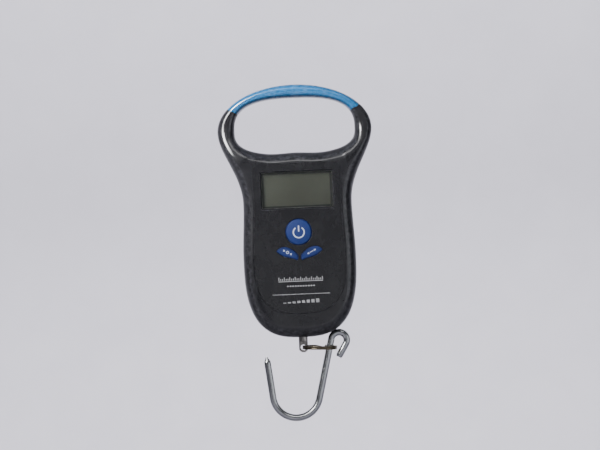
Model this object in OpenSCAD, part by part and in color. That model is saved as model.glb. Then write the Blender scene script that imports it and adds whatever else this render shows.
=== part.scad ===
// Digital fish scale: a hand-held hanging scale with a hook on a split ring.
// Heights below are measured up from the foot of the body, and frame() then
// lifts everything so that the origin lies under the middle of the handle bar,
// where the hand holds it. +Z points up along the load line, -Y is the front.

/* [Body] */
// Greatest half width, across the handle
handle_half_w = 44.6; // [43:0.1:46]
// Half width at the waist, beside the display
waist_half_w = 31.4; // [31:0.1:33]
// Half width at the belly, beside the print area
belly_half_w = 32.6; // [32:0.1:34]
// Height of the handle's widest line
handle_mid_h = 119.9; // [119:0.1:121]
// Rise of the outline above the widest line
crown_rise = 26.3; // [25.5:0.1:28]
// Half of the body's thickness
body_half_d = 14; // [13.9:0.05:14.2]
// Half of the handle bar's thickness
bar_half_d = 9; // [8.5:0.1:9.5]
// Wall of the housings
wall = 2; // [1.8:0.1:2.2]
// Depth of the coloured grip skin
grip_skin = 1.6; // [1.4:0.1:1.8]

/* [Handle opening] */
// Half width of the opening
opening_half_w = 34.7; // [33:0.1:35]
// Height of the opening's widest line
opening_mid_h = 120; // [119.5:0.1:120.5]
// Rise of the opening above that line
opening_rise = 18.4; // [17:0.1:18.6]
// Drop of the opening below that line
opening_drop = 14; // [13:0.1:14.2]

/* [Display and keys] */
// Width of the recess round the display
recess_w = 41.6; // [41:0.1:42.5]
// Height of the recess round the display
recess_h = 22; // [21.5:0.1:23]
// Corner radius of that recess
recess_corner_r = 1.2; // [0.4:0.1:2]
// Visible width of the display
view_w = 37.4; // [36:0.1:38]
// Visible height of the display
view_h = 17.4; // [17:0.1:18]
// Height of the display's middle
display_h = 85.1; // [85:0.1:85.5]
// Radius of the power key
power_r = 7.4; // [7:0.1:7.5]
// Height of the power key's middle
power_h = 60.9; // [60.5:0.1:61.2]
// Travel of the keys
key_travel = 0.8; // [0.4:0.1:0.8]

/* [Hook and ring] */
// Radius of the hook's wire
hook_wire_r = 1.95; // [1.7:0.05:2]
// Radius of the hook's bend
hook_bend_r = 13.6; // [13:0.1:14]
// Mean radius of the split ring
ring_r = 9.4; // [9.3:0.05:9.5]
// Radius of the swivelling stud
stud_r = 2.6; // [2.5:0.05:2.7]

/* [Hidden] */
$fn = 48;

black = "#28272c";
blue = "#3f7da6";
key_blue = "#35507f";
steel = "#9a9da2";
eps = 0.01;

// The hand holds the scale at the top of the opening
hang_h = opening_mid_h + opening_rise;

// ---- The outline and the opening, as curves ----
waist_h = 78;            // where the side curve meets the straight flank
belly_h = 46;            // where the rounded foot begins
foot_power = 2.85;       // superellipse exponent of the foot
opening_power = 2.75;    // superellipse exponent of the opening
bump = 0.9;              // rise in the middle of the opening's lower edge
bump_half_w = 17;
grip_start = 31;         // ellipse angle on the outline where the grip ends
grip_start_in = 24;      // superellipse angle on the opening where it ends
corner_in = 44;          // angle of the opening's lower corner
corner_t = 0.44;         // place on the side curve that faces that corner
grip_steps = 10;         // sections over half of the grip
arm_steps = 12;          // sections down each arm
flank_steps = 18;        // sections from the arm to the middle of the foot

function power_cos(a, n) = pow(max(cos(a), 0), 2 / n);
function power_sin(a, n) = pow(max(sin(a), 0), 2 / n);
function bezier(p, t) =
    pow(1 - t, 3) * p[0] + 3 * t * pow(1 - t, 2) * p[1]
    + 3 * t * t * (1 - t) * p[2] + t * t * t * p[3];

function crown(a) = [handle_half_w * cos(a), handle_mid_h + crown_rise * sin(a)];
side_curve = [
    [handle_half_w, handle_mid_h], [handle_half_w, handle_mid_h - 12.5],
    [waist_half_w, waist_h + 17], [waist_half_w, waist_h]
];
function flank(t) = [
    waist_half_w + (belly_half_w - waist_half_w) * (1 - cos(180 * t)) / 2,
    waist_h + (belly_h - waist_h) * t
];
function foot(a) = [
    belly_half_w * power_cos(a, foot_power),
    belly_h * (1 - power_sin(a, foot_power))
];
function opening_top(a) = [
    opening_half_w * power_cos(a, opening_power),
    opening_mid_h + opening_rise * power_sin(a, opening_power)
];
function opening_foot(a) =
    let (x = opening_half_w * power_cos(a, opening_power))
    [x, opening_mid_h - opening_drop * power_sin(a, opening_power)
        + (x < bump_half_w ? bump * pow(cos(90 * x / bump_half_w), 2) : 0)];

// Even spacing along a polyline
function running(p) = [
    for (i = 0, s = 0; i < len(p);
        s = s + (i + 1 < len(p) ? norm(p[i + 1] - p[i]) : 0), i = i + 1) s
];
function even(p, n) =
    let (s = running(p), total = s[len(s) - 1],
        across = [for (i = [0:len(p) - 1]) [s[i], p[i].x]],
        up = [for (i = [0:len(p) - 1]) [s[i], p[i].y]])
    [for (k = [0:n]) [lookup(total * k / n, across), lookup(total * k / n, up)]];
function but_first(p) = [for (i = [1:len(p) - 1]) p[i]];
function but_last(p) = [for (i = [0:len(p) - 2]) p[i]];
function reversed(p) = [for (i = [len(p) - 1:-1:0]) p[i]];
function mirrored(p) = [for (q = reversed(p)) [-q.x, q.y]];

outer_right = concat(
    even([for (a = [90:-1:grip_start]) crown(a)], grip_steps),
    but_first(even(concat([for (a = [grip_start:-1:0]) crown(a)],
        [for (t = [0.02:0.02:corner_t]) bezier(side_curve, t)]), arm_steps)),
    but_first(even(concat([for (t = [corner_t:0.02:1]) bezier(side_curve, t)],
        [for (t = [0.1:0.1:1]) flank(t)], [for (a = [1:1:90]) foot(a)]), flank_steps))
);
inner_right = concat(
    even([for (a = [90:-1:grip_start_in]) opening_top(a)], grip_steps),
    but_first(even(concat([for (a = [grip_start_in:-1:0]) opening_top(a)],
        [for (a = [1:1:corner_in]) opening_foot(a)]), arm_steps)),
    but_first(even([for (a = [corner_in:1:90]) opening_foot(a)], flank_steps))
);
outer = concat(outer_right, but_first(but_last(mirrored(outer_right))));
inner = concat(inner_right, but_first(but_last(mirrored(inner_right))));
count = len(outer);

// Unit vector square to a closed curve that runs clockwise, to its right side
function right_of(p, i) =
    let (n = len(p), d = p[(i + 1) % n] - p[(i + n - 1) % n])
    [d.y, -d.x] / norm(d);

// ---- The housing's thickness ----
slope_start_h = 101;     // the body is full thickness below this height
slope_end_h = 124;       // and the bar's thickness above this one
edge_r = 7;              // width of the rounded edge, seen from the front
edge_power = 2.4;        // superellipse exponent of the rounded edge
edge_steps = 4;
bar_share = 0.42;        // how much of the bar's width each rounded edge takes
face_wall = 2.2;         // wall of the front and back faces
seam = 0.05;             // half of the parting gap

function eased(t) = let (c = min(max(t, 0), 1)) c * c * (3 - 2 * c);
function half_depth(h) = body_half_d - (body_half_d - bar_half_d)
    * eased((h - slope_start_h) / (slope_end_h - slope_start_h));

// One rounded edge, from the parting plane to the face: p on the curve, n into
// the material, r the edge's width, skin the distance below the outer surface
function edge(p, n, r, skin, deep) = [
    for (k = [0:edge_steps])
        let (a = 90 * k / edge_steps,
            q = p + n * (skin + (r - skin) * (1 - power_cos(a, edge_power))))
        [q.x, -seam - (half_depth(q.y) - deep - seam) * power_sin(a, edge_power), q.y]
];
function web(a, b, deep) = [
    for (f = [0.25, 0.5, 0.75]) let (q = a * (1 - f) + b * f)
        [q.x, -(half_depth(q.z) - deep), q.z]
];
// The skin's surface from the outline across the face to the opening
function skin_points(i, skin, deep) =
    let (r = min(edge_r, bar_share * norm(outer[i] - inner[i])),
        a = edge(outer[i], right_of(outer, i), r, skin, deep),
        b = reversed(edge(inner[i], -right_of(inner, i), r, skin, deep)))
    concat(a, web(a[edge_steps], b[0], deep), b);
// A closed section of the shell between two depths below the outer surface
function section(i, skin, skin_in, deep_in) = concat(
    skin_points(i, skin, skin), reversed(skin_points(i, skin_in, deep_in)));

// Faces between neighbouring rings of the same number of points
function band_faces(rings, n, closed) = [
    for (j = [0:rings - (closed ? 1 : 2)]) for (k = [0:n - 1])
        let (a = j * n + k, b = j * n + (k + 1) % n,
            c = ((j + 1) % rings) * n + (k + 1) % n, d = ((j + 1) % rings) * n + k)
        each [[a, c, b], [a, d, c]]
];
function joined(rings) = [for (r = rings) each r];

module frame() {
    translate([0, 0, -hang_h]) children();
}
module block(low, high) {
    translate(low) cube(high - low);
}
// A flat shape drawn in X and height, from depth y0 to depth y1
module slab(y0, y1) {
    translate([0, y1, 0]) rotate([90, 0, 0]) linear_extrude(y1 - y0) children();
}
// A round rod along Y
module rod(r, y0, y1, x, h) {
    translate([x, y1, h]) rotate([90, 0, 0]) cylinder(r = r, h = y1 - y0);
}
module both_sides() {
    children();
    mirror([1, 0, 0]) children();
}

// The front half of the shell, thinner where the grip covers it
core_skin = grip_skin + 1.2;
module shell_half() {
    under = [for (k = [0:grip_steps]) k];
    bare = [for (i = [grip_steps:count - grip_steps]) i];
    rings = concat(
        [for (i = under) section(i, grip_skin, core_skin, core_skin)],
        [for (i = bare) section(i, 0, wall, face_wall)],
        [for (k = [grip_steps:-1:1])
            section(count - k, grip_skin, core_skin, core_skin)]);
    polyhedron(joined(rings), band_faces(len(rings), len(rings[0]), true));
}

// The front half of the coloured skin over the top of the bar
grip_gap = 0.02;
module grip_half() {
    rings = [
        for (k = [-grip_steps:grip_steps])
            section((k + count) % count, 0, grip_skin - grip_gap, grip_skin - grip_gap)
    ];
    n = len(rings[0]);
    m = n / 2;
    last = (len(rings) - 1) * n;
    ends = [
        for (k = [0:m - 2])
            each [[k, n - 2 - k, n - 1 - k], [k, k + 1, n - 2 - k]],
        for (k = [0:m - 2])
            each [[last + k, last + n - 1 - k, last + n - 2 - k],
                [last + k, last + n - 2 - k, last + k + 1]]
    ];
    polyhedron(joined(rings), concat(band_faces(len(rings), n, false), ends));
}

// ---- The face plate ----
plate_margin = 6.4;      // distance of the plate's edge from the outline
plate_foot_h = 14.2;
plate_top_h = 100.6;
plate_corner_r = 5;
plate_front = body_half_d + 0.2;
plate_back = body_half_d - 0.9;
plate_half_w = belly_half_w - plate_margin;
plate_waist = waist_half_w - plate_margin;
plate_right = concat(
    [[0, plate_top_h], [plate_waist + 0.6 - plate_corner_r, plate_top_h]],
    [for (a = [75:-15:0]) [plate_waist + 0.6, plate_top_h - plate_corner_r]
        + plate_corner_r * [cos(a) - 1, sin(a)]],
    [[plate_waist, waist_h]],
    [for (t = [0.25:0.25:1]) [plate_waist + (plate_half_w - plate_waist)
        * (1 - cos(180 * t)) / 2, waist_h + (belly_h - waist_h) * t]],
    [for (a = [6:6:90]) [plate_half_w * power_cos(a, foot_power),
        belly_h - (belly_h - plate_foot_h) * power_sin(a, foot_power)]]
);
module plate_shape() {
    polygon(concat(plate_right, but_first(but_last(mirrored(plate_right)))));
}
module centred_rect(w, h) {
    translate([-w / 2, display_h - h / 2]) square([w, h]);
}

// ---- Keys ----
wing_top = [[13, 50.2], [10.5, 53.6], [6, 53], [1.2, 48]];
wing_foot = [[1.5, 44.9], [5, 46.8], [9, 46], [13, 50.2]];
wing_steps = 7;
wing = concat(
    [for (k = [0:wing_steps]) bezier(wing_top, k / wing_steps)],
    [for (k = [0:wing_steps - 1]) bezier(wing_foot, k / wing_steps)]
);
wing_middle = [7.2, 49.3];
// The wing's outline moved out by d along its own normals (it runs anticlockwise)
module wing_shape(d = 0) {
    polygon([for (i = [0:len(wing) - 1]) wing[i] + d * right_of(wing, i)]);
}
key_gap = 0.35;
flange_front = -(body_half_d - face_wall) + 0.3;
flange_back = flange_front + 0.9;
key_front = -plate_front - 0.6;
plunger_r = 1.6;

// ---- Circuit board and display stack ----
board_front = -7.1;
board_back = -5.5;
board_half_w = 23;
board_low_h = 42.5;
board_high_h = 98.5;
board_screw_at = [for (x = [-20, 20], h = [54, 69.5]) [x, h]];
lens_front = -plate_back;
lens_back = -11.9;
glass_front = -11;
glass_back = -9.2;
glass_w = 40.6;
glass_h = 19.8;
frame_front = -11.7;
frame_wall = 1.8;
strip_h = 1.4;
switch_size = 6;
switch_front = -9.3;
switch_at = [[0, power_h], wing_middle, [-wing_middle.x, wing_middle.y]];

// ---- Screws ----
screw_r = 1.3;
screw_gap = 0.05;
case_low = [20, 18];
case_mid = [26.2, 74];
case_arm = [39.6, 119.6];
seat_body = 8;
seat_arm = 4;
head_r = 2.5;
head_h = 1.8;
case_tip = -6;

// ---- Batteries at the back ----
cell_r = 5.25;
cell_x = 5.75;
cell_y = 6.6;
cell_low = 54.7;
cell_high = 99.2;
nub_r = 1.8;
nub_h = 0.8;
well_half_w = 12;
well_wall = 1;
well_low = 53.2;
well_high = 100.4;
well_floor = 1.1;
well_mouth = body_half_d - face_wall;
cover_half_w = 14.5;
cover_low = 50.5;
cover_high = 100.5;
cover_gap = 0.3;
cover_inner = 12;
tab_x = 11;
tab_half_w = 1.7;

// ---- Load cell, on the load line ----
cell_half_w = 11;
cell_half_d = 4;
cell_foot = 9;
cell_top = 49;
tab_top = 15;
bore_gap = 0.05;
shelf_in = 17;
shelf_out = 30.8;
plate_top = 51.4;
plate_half_x = 24;
anchor_screw_at = [21.3, 4];
plate_screw_x = 6;
screw_in = 6.5;          // how far a plate screw goes into the cell

// ---- Hook and ring ----
eye_h = -5.9;            // height of the hole in the stud
eye_r = 1.65;
far_wire = [2 * ring_r, -6.7];
ring_tilt = atan2(eye_h - far_wire.y, far_wire.x);
ring_turn_h = 1.06;      // thickness of one turn of the split ring
ring_wire_w = 1.3;
stud_low = -8.8;
stud_neck = -2.4;
tongue_half_d = 1.8;

// A path of straights [length] and bends [radius, turn] from a start point
function step_along(p, heading, piece, n) =
    len(piece) == 1
    ? [for (k = [1:n]) p + piece[0] * k / n * [cos(heading), sin(heading)]]
    : let (side = sign(piece[1]),
        centre = p + side * piece[0] * [-sin(heading), cos(heading)])
        [for (k = [1:n]) let (a = heading + piece[1] * k / n)
            centre - side * piece[0] * [-sin(a), cos(a)]];
hook_tip = [-21.6, -10.65];
hook_heading = -83.3;
hook_pieces = [
    [[3.4], 3], [[20.6], 2], [[hook_bend_r, 159.7], 12], [[35.6], 3],
    [[4.5, -197.7], 12], [[8.6], 2]
];
function walk(p, heading, pieces, i = 0) =
    i == len(pieces) ? []
    : let (next = step_along(p, heading, pieces[i][0], pieces[i][1]),
        turn = len(pieces[i][0]) == 2 ? pieces[i][0][1] : 0)
        concat(next, walk(next[len(next) - 1], heading + turn, pieces, i + 1));
hook_path = concat([hook_tip], walk(hook_tip, hook_heading, hook_pieces));

// Rings of points round a flat path in X and height
sides = 12;
function path_ring(path, i, r) =
    let (n = len(path), d = path[min(i + 1, n - 1)] - path[max(i - 1, 0)],
        across = [d.y, -d.x] / norm(d))
    [for (k = [0:sides - 1]) let (a = 360 * k / sides, q = path[i] + across * r * cos(a))
        [q.x, r * sin(a), q.y]];
function fan_cap(first, n, flip) = [
    for (k = [1:n - 2]) flip ? [first, first + k, first + k + 1]
        : [first, first + k + 1, first + k]
];

// ---- Modules, one for each piece ----
module half_housing() {
    $fn = 24;
    resize([0, 0, 0]) difference() {
        union() {
            shell_half();
            children(0);
        }
        children(1);
        // way out for the stud, half in each housing
        translate([0, 0, -2]) cylinder(r = stud_r + 0.5, h = 9);
    }
}
module front_post(at, top, bottom, r) {
    rod(r, -(top), -bottom, at.x, at.y);
}
module front_housing() {
    inside = body_half_d - face_wall + 0.3;
    color(black) frame() half_housing() {
        union() {
            for (at = board_screw_at) front_post(at, inside, -board_front, 2.6);
            both_sides() {
                front_post(case_low, inside, 0.3, 2.6);
                front_post(case_mid, inside, 0.3, 2.3);
                front_post(case_arm, bar_half_d - 1.5, 0.3, 2.6);
                block([shelf_in, -5, 44], [shelf_out, -0.2, cell_top]);
            }
        }
        union() {
            slab(-body_half_d - 1, -plate_back) plate_shape();
            slab(-body_half_d - 1, -inside + 1) centred_rect(glass_w + 0.1, glass_h + 0.7);
            rod(power_r + key_gap, -body_half_d - 1, -inside + 1, 0, power_h);
            slab(-body_half_d - 1, -inside + 1)
                both_sides() wing_shape(key_gap);
            for (at = board_screw_at)
                rod(0.9, board_front - 3.4, board_front + 1, at.x, at.y);
            both_sides() for (at = [case_low, case_mid, case_arm])
                rod(screw_r + screw_gap, case_tip - 0.5, 1, at.x, at.y);
        }
    }
}
module rear_housing() {
    inside = body_half_d - face_wall + 0.3;
    color(black) frame() mirror([0, 1, 0]) half_housing() {
        union() {
            both_sides() {
                front_post(case_low, inside, 0.3, 3.5);
                front_post(case_mid, inside, 0.3, 3.4);
                front_post(case_arm, bar_half_d - 1.5, 0.3, 3.4);
                block([shelf_in, -8, 39], [shelf_out, -0.2, cell_top]);
            }
            block([-well_half_w - well_wall, -well_mouth - 0.2, well_low - well_wall],
                [well_half_w + well_wall, -well_floor + well_wall - 0.2, well_high + well_wall]);
        }
        union() {
            // battery well and the cover's opening
            block([-well_half_w, -body_half_d, well_low],
                [well_half_w, -well_floor, well_high]);
            block([-cover_half_w - cover_gap, -body_half_d - 1, cover_low - cover_gap],
                [cover_half_w + cover_gap, -well_mouth + 0.05, cover_high + cover_gap]);
            both_sides()
                block([tab_x - tab_half_w - 0.4, -well_mouth - 1, cover_low - 0.3],
                    [tab_x + tab_half_w + 0.4, -10, cover_low + 4]);
            // slots for the contacts' tails
            both_sides()
                block([cell_x - 1.3, -2, well_high - 1.6], [cell_x + 1.3, 1, well_high - 0.2]);
            both_sides() {
                for (at = [case_low, case_mid]) {
                    rod(screw_r + 0.2, -body_half_d - 1, 1, at.x, at.y);
                    rod(head_r + 0.3, -body_half_d - 1, -seat_body, at.x, at.y);
                }
                rod(screw_r + 0.2, -body_half_d - 1, 1, case_arm.x, case_arm.y);
                rod(head_r + 0.3, -body_half_d - 1, -seat_arm, case_arm.x, case_arm.y);
                translate([anchor_screw_at.x, -anchor_screw_at.y, 41])
                    cylinder(r = screw_r + screw_gap, h = 10);
            }
        }
    }
}
module front_grip() {
    color(blue) frame() grip_half();
}
module rear_grip() {
    color(blue) frame() mirror([0, 1, 0]) grip_half();
}
module face_plate() {
    color(black) frame() difference() {
        slab(-plate_front, -plate_back - grip_gap) plate_shape();
        slab(-plate_front - 1, -plate_back + 1) offset(r = recess_corner_r)
            centred_rect(recess_w - 2 * recess_corner_r, recess_h - 2 * recess_corner_r);
        rod(power_r + key_gap, -plate_front - 1, -plate_back + 1, 0, power_h);
        slab(-plate_front - 1, -plate_back + 1) both_sides() wing_shape(key_gap);
    }
}
module display_window() {
    color("#5a6160", 0.4) frame()
        slab(lens_front + grip_gap, lens_back) centred_rect(glass_w - 0.1, glass_h + 0.5);
}
module lcd_frame() {
    color("#d8d8d4") frame() difference() {
        slab(frame_front, board_front)
            centred_rect(glass_w + 2 * frame_wall, glass_h + 2 * frame_wall);
        slab(glass_front, board_front + 1) centred_rect(glass_w + 0.2, glass_h + 0.2);
        slab(frame_front - 1, glass_front + 1) centred_rect(view_w + 1, view_h + 1);
    }
}
module lcd_glass() {
    color("#7b8072") frame() slab(glass_front, glass_back) centred_rect(glass_w, glass_h);
}
module lcd_reflector() {
    color("#b9bcb4") frame() slab(glass_back, glass_back + 0.4)
        centred_rect(glass_w - 1, glass_h - 2 * strip_h - 1);
}
module zebra_strips() {
    color("#b06a7a") frame() for (s = [-1, 1])
        translate([0, 0, display_h + s * (glass_h / 2 - strip_h / 2)])
            block([-glass_w / 2 + 1, glass_back, -strip_h / 2],
                [glass_w / 2 - 1, board_front, strip_h / 2]);
}
module circuit_board() {
    color("#2f6b3c") frame() difference() {
        block([-board_half_w, board_front, board_low_h],
            [board_half_w, board_back, board_high_h]);
        for (at = board_screw_at) rod(1.2, board_front - 1, board_back + 1, at.x, at.y);
    }
}
module controller_blob() {
    blob_r = 6;
    color("#1b1b1d") frame() translate([0, board_back, 86]) rotate([-90, 0, 0])
        rotate_extrude() polygon(concat([[0, 0]],
            [for (a = [0:15:90]) [blob_r * cos(a), 1.7 * sin(a)]]));
}
// A box-shaped part on the back of the board, [width, thickness, height]
module chip(x, h, size) {
    block([x, board_back, h], [x + size.x, board_back + size.y, h + size.z]);
}
module board_components() {
    color("#6c5b45") frame() {
        for (h = [66, 72, 78]) chip(14, h, [2, 0.8, 1.2]);     // resistors
        for (h = [64, 70]) chip(-17, h, [3, 1.1, 1.6]);        // small capacitors
        chip(-19, 84, [8, 2.6, 3.2]);                          // quartz can
        for (h = [80, 88]) rod(2.2, board_back, board_back + 4.6, 16, h);
    }
}
module switch_bases() {
    color("#3a3a3d") frame() for (at = switch_at) difference() {
        block([at.x - switch_size / 2, switch_front, at.y - switch_size / 2],
            [at.x + switch_size / 2, board_front, at.y + switch_size / 2]);
        rod(plunger_r + 0.1, switch_front - 1, board_front - 0.3, at.x, at.y);
    }
}
module pan_screw_y(at, seat, tip, r) {
    rod(head_r * r / screw_r, seat, seat + head_h * r / screw_r, at.x, at.y);
    rod(r, tip, seat + eps, at.x, at.y);
}
module board_screws() {
    color(steel) frame() for (at = board_screw_at)
        pan_screw_y(at, board_back, board_front - 2.9, 0.85);
}
module case_screws() {
    color(steel) frame() both_sides() {
        for (at = [case_low, case_mid]) pan_screw_y(at, seat_body, case_tip, screw_r);
        pan_screw_y(case_arm, seat_arm, case_tip, screw_r);
    }
}
module load_cell() {
    window_half_w = 6;
    window_top = 24;
    beam = 2;                // metal left between the openings
    eye_mid = 32.6;          // the sensing opening is two eyes joined by a slot
    eye_x = 4.2;
    eye_big_r = 3.4;
    eye_slot_half_h = 1.2;
    cut_h = 1.4;
    out = 1;                 // how far the cutting shapes stand out of the block
    low_cut = window_top + beam;
    high_cut = eye_mid + eye_big_r + beam;
    color("#b9bcc0") frame() difference() {
        block([-cell_half_w, -cell_half_d, cell_foot], [cell_half_w, cell_half_d, cell_top]);
        block([-window_half_w, -cell_half_d - out, tab_top],
            [window_half_w, cell_half_d + out, window_top]);
        for (x = [-eye_x, eye_x])
            rod(eye_big_r, -cell_half_d - out, cell_half_d + out, x, eye_mid);
        block([-eye_x, -cell_half_d - out, eye_mid - eye_slot_half_h],
            [eye_x, cell_half_d + out, eye_mid + eye_slot_half_h]);
        // the two cuts that make the S
        block([-cell_half_w - out, -cell_half_d - out, low_cut],
            [window_half_w, cell_half_d + out, low_cut + cut_h]);
        block([-window_half_w, -cell_half_d - out, high_cut],
            [cell_half_w + out, cell_half_d + out, high_cut + cut_h]);
        translate([0, 0, cell_foot - out]) cylinder(r = stud_r + bore_gap, h = tab_top);
        both_sides() translate([plate_screw_x, 0, cell_top - screw_in - 0.5])
            cylinder(r = screw_r + screw_gap, h = screw_in + 0.5 + out);
    }
}
module strain_gauges() {
    gauge_t = 0.3;
    color("#c9a35a") frame() both_sides() for (y = [-cell_half_d - gauge_t, cell_half_d])
        block([2.6, y, 30.8], [8.2, y + gauge_t, 34.4]);
}
module anchor_plate() {
    color(steel) frame() difference() {
        block([-plate_half_x, -4.6, cell_top], [plate_half_x, cell_half_d + 4, plate_top]);
        both_sides() {
            translate([plate_screw_x, 0, cell_top - 1]) cylinder(r = screw_r + 0.2, h = 5);
            translate([anchor_screw_at.x, anchor_screw_at.y, cell_top - 1])
                cylinder(r = screw_r + 0.2, h = 5);
        }
    }
}
module cap_screw_z(at, seat, tip) {
    translate([at.x, at.y, seat]) cylinder(r = head_r - 0.3, h = 0.7);
    translate([at.x, at.y, tip]) cylinder(r = screw_r, h = seat - tip + eps);
}
module plate_screws() {
    color(steel) frame() both_sides()
        cap_screw_z([plate_screw_x, 0], plate_top, cell_top - screw_in);
}
module anchor_screws() {
    color(steel) frame() both_sides() cap_screw_z(anchor_screw_at, plate_top, 41.5);
}
module battery(x, nub_up) {
    body_low = nub_up ? cell_low : cell_low + nub_h;
    color("#8f9296") frame() translate([x, cell_y, 0]) {
        translate([0, 0, body_low]) cylinder(r = cell_r, h = cell_high - cell_low - nub_h);
        translate([0, 0, nub_up ? cell_high - nub_h - eps : cell_low])
            cylinder(r = nub_r, h = nub_h + eps);
    }
}
module battery_left() {
    battery(-cell_x, true);
}
module battery_right() {
    battery(cell_x, false);
}
contact_t = 0.4;
// A flat contact at the well's upper end, with a tail out through the well's floor
module tailed_contact(x) {
    block([x - 4, cell_y - 4, well_high - contact_t], [x + 4, cell_y + 4, well_high]);
    block([x - 1, -0.7, well_high - contact_t - 0.4], [x + 1, cell_y - 3.9, well_high - 0.4]);
}
// A pyramid spring as stacked rings of shrinking size
module contact_coil(x, from_h, to_h, turns) {
    pitch = (to_h - from_h) / turns;
    for (k = [0:turns - 1]) translate([x, cell_y, from_h + pitch * k])
        rotate_extrude() translate([3.4 - 0.5 * k, 0]) square([0.7, abs(pitch)]);
}
module contact_plate() {
    color(steel) frame() tailed_contact(-cell_x);
}
module contact_spring() {
    color(steel) frame() {
        tailed_contact(cell_x);
        contact_coil(cell_x, cell_high, well_high - contact_t, 2);
    }
}
module contact_bridge() {
    color(steel) frame() {
        block([-cell_x - 4, cell_y - 4, well_low], [cell_x + 4, cell_y + 4, well_low + contact_t]);
        contact_coil(-cell_x, well_low + contact_t, cell_low, 2);
        translate([cell_x, cell_y, well_low + contact_t])
            cylinder(r = 2, h = cell_low - well_low - contact_t);
    }
}
module battery_cover() {
    color(black) frame() {
        block([-cover_half_w, cover_inner, cover_low], [cover_half_w, body_half_d, cover_high]);
        both_sides() {
            block([tab_x - tab_half_w, 10.6, cover_low - 2.5],
                [tab_x + tab_half_w, 11.5, cover_low + 1.2]);
            block([tab_x - tab_half_w, 10.6, cover_low + 0.1],
                [tab_x + tab_half_w, cover_inner + 0.1, cover_low + 1.2]);
        }
        // latch tongue at the top
        block([-3, 10.6, cover_high - 1.2], [3, cover_inner + 0.1, cover_high - 0.1]);
    }
}
// A thin wire along a list of points
wire_r = 0.5;
wire_sides = 8;
function wire_ring(p, i) =
    let (n = len(p), d = p[min(i + 1, n - 1)] - p[max(i - 1, 0)],
        a = cross(d, abs(d.x) < 0.9 * norm(d) ? [1, 0, 0] : [0, 0, 1]), u = a / norm(a),
        v = cross(d, u) / norm(d))
    [for (k = [0:wire_sides - 1]) let (t = 360 * k / wire_sides)
        p[i] + wire_r * (u * cos(t) + v * sin(t))];
function smooth_point(p, i, t) =
    let (n = len(p), a = p[max(i - 1, 0)], b = p[i], c = p[i + 1], d = p[min(i + 2, n - 1)])
    0.5 * (2 * b + (c - a) * t + (2 * a - 5 * b + 4 * c - d) * t * t
        + (3 * b - a - 3 * c + d) * t * t * t);
function smooth(p) = concat(
    [for (i = [0:len(p) - 2]) for (t = [0:0.34:0.9]) smooth_point(p, i, t)],
    [p[len(p) - 1]]);
module wire(route) {
    p = smooth(route);
    rings = [for (i = [0:len(p) - 1]) wire_ring(p, i)];
    frame() polyhedron(joined(rings), concat(band_faces(len(rings), wire_sides, false),
        fan_cap(0, wire_sides, true), fan_cap((len(rings) - 1) * wire_sides, wire_sides, false)));
}
// The four leads of the load cell, each from its gauge to its pad on the board
lead_inner = [[7.6, -4.8, 31.8], [8.4, -6.2, 32.2], [10.6, -7, 33.6], [12.6, -5.8, 36.8],
    [13.2, -3.4, 40.4], [13.2, -2.8, 43], [13.2, -3.6, 44.9], [13.2, -4.6, 44.9],
    [13.2, board_back, 44.9]];
lead_outer = [[7.6, -4.8, 33.8], [8.8, -6.6, 34.8], [11.6, -7.6, 36], [14.8, -6.2, 38],
    [15.8, -3.4, 40.2], [15.8, -2.4, 42], [15.8, -3.4, 43.6], [15.8, -4.4, 43.6],
    [15.8, board_back, 43.6]];
module cell_wire_red() {
    color("#a82a22") wire(lead_inner);
}
module cell_wire_black() {
    color("#1c1c1e") mirror([1, 0, 0]) wire(lead_inner);
}
module cell_wire_green() {
    color("#2c7a3f") wire(lead_outer);
}
module cell_wire_white() {
    color("#d8d8d4") mirror([1, 0, 0]) wire(lead_outer);
}
// The leads of the battery, each from a contact's tail to its pad
lead_battery = [[cell_x, -0.7, well_high - 0.6], [cell_x, -2, well_high - 0.7],
    [cell_x + 1.6, -3.2, well_high - 1.6], [cell_x + 3.2, -3, well_high - 3.4],
    [cell_x + 3.6, -3.8, well_high - 4.8], [cell_x + 3.6, -4.7, well_high - 4.8],
    [cell_x + 3.6, board_back, well_high - 4.8]];
module battery_wire_red() {
    color("#a82a22") mirror([1, 0, 0]) wire(lead_battery);
}
module battery_wire_black() {
    color("#1c1c1e") wire(lead_battery);
}

module power_button() {
    dome = 0.5;
    round_r = 0.7;
    back = -key_front + flange_back;
    color(key_blue) frame() translate([0, flange_back, power_h]) rotate([90, 0, 0])
        rotate_extrude() polygon(concat(
            [[0, 0], [power_r + 0.9, 0], [power_r + 0.9, flange_back - flange_front],
                [power_r, flange_back - flange_front], [power_r, back - dome - round_r]],
            [for (a = [22.5:22.5:67.5]) [power_r - round_r * (1 - cos(a)),
                back - dome - round_r * (1 - sin(a))]],
            [for (r = [power_r - round_r:-1.1:0.5])
                [r, back - dome * pow(r / (power_r - round_r), 2)]],
            [[0, back]]));
}
module wing_button() {
    color(key_blue) frame() {
        slab(key_front, flange_back) wing_shape(0);
        slab(flange_front, flange_back) wing_shape(0.85);
    }
}
module unit_button() {
    wing_button();
}
module tare_button() {
    mirror([1, 0, 0]) wing_button();
}
module plunger(at) {
    color("#b4b4b0") frame() rod(plunger_r, flange_back, switch_front + key_travel + 0.1, at.x, at.y);
}
module power_plunger() {
    plunger(switch_at[0]);
}
module unit_plunger() {
    plunger(switch_at[1]);
}
module tare_plunger() {
    plunger(switch_at[2]);
}

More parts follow.
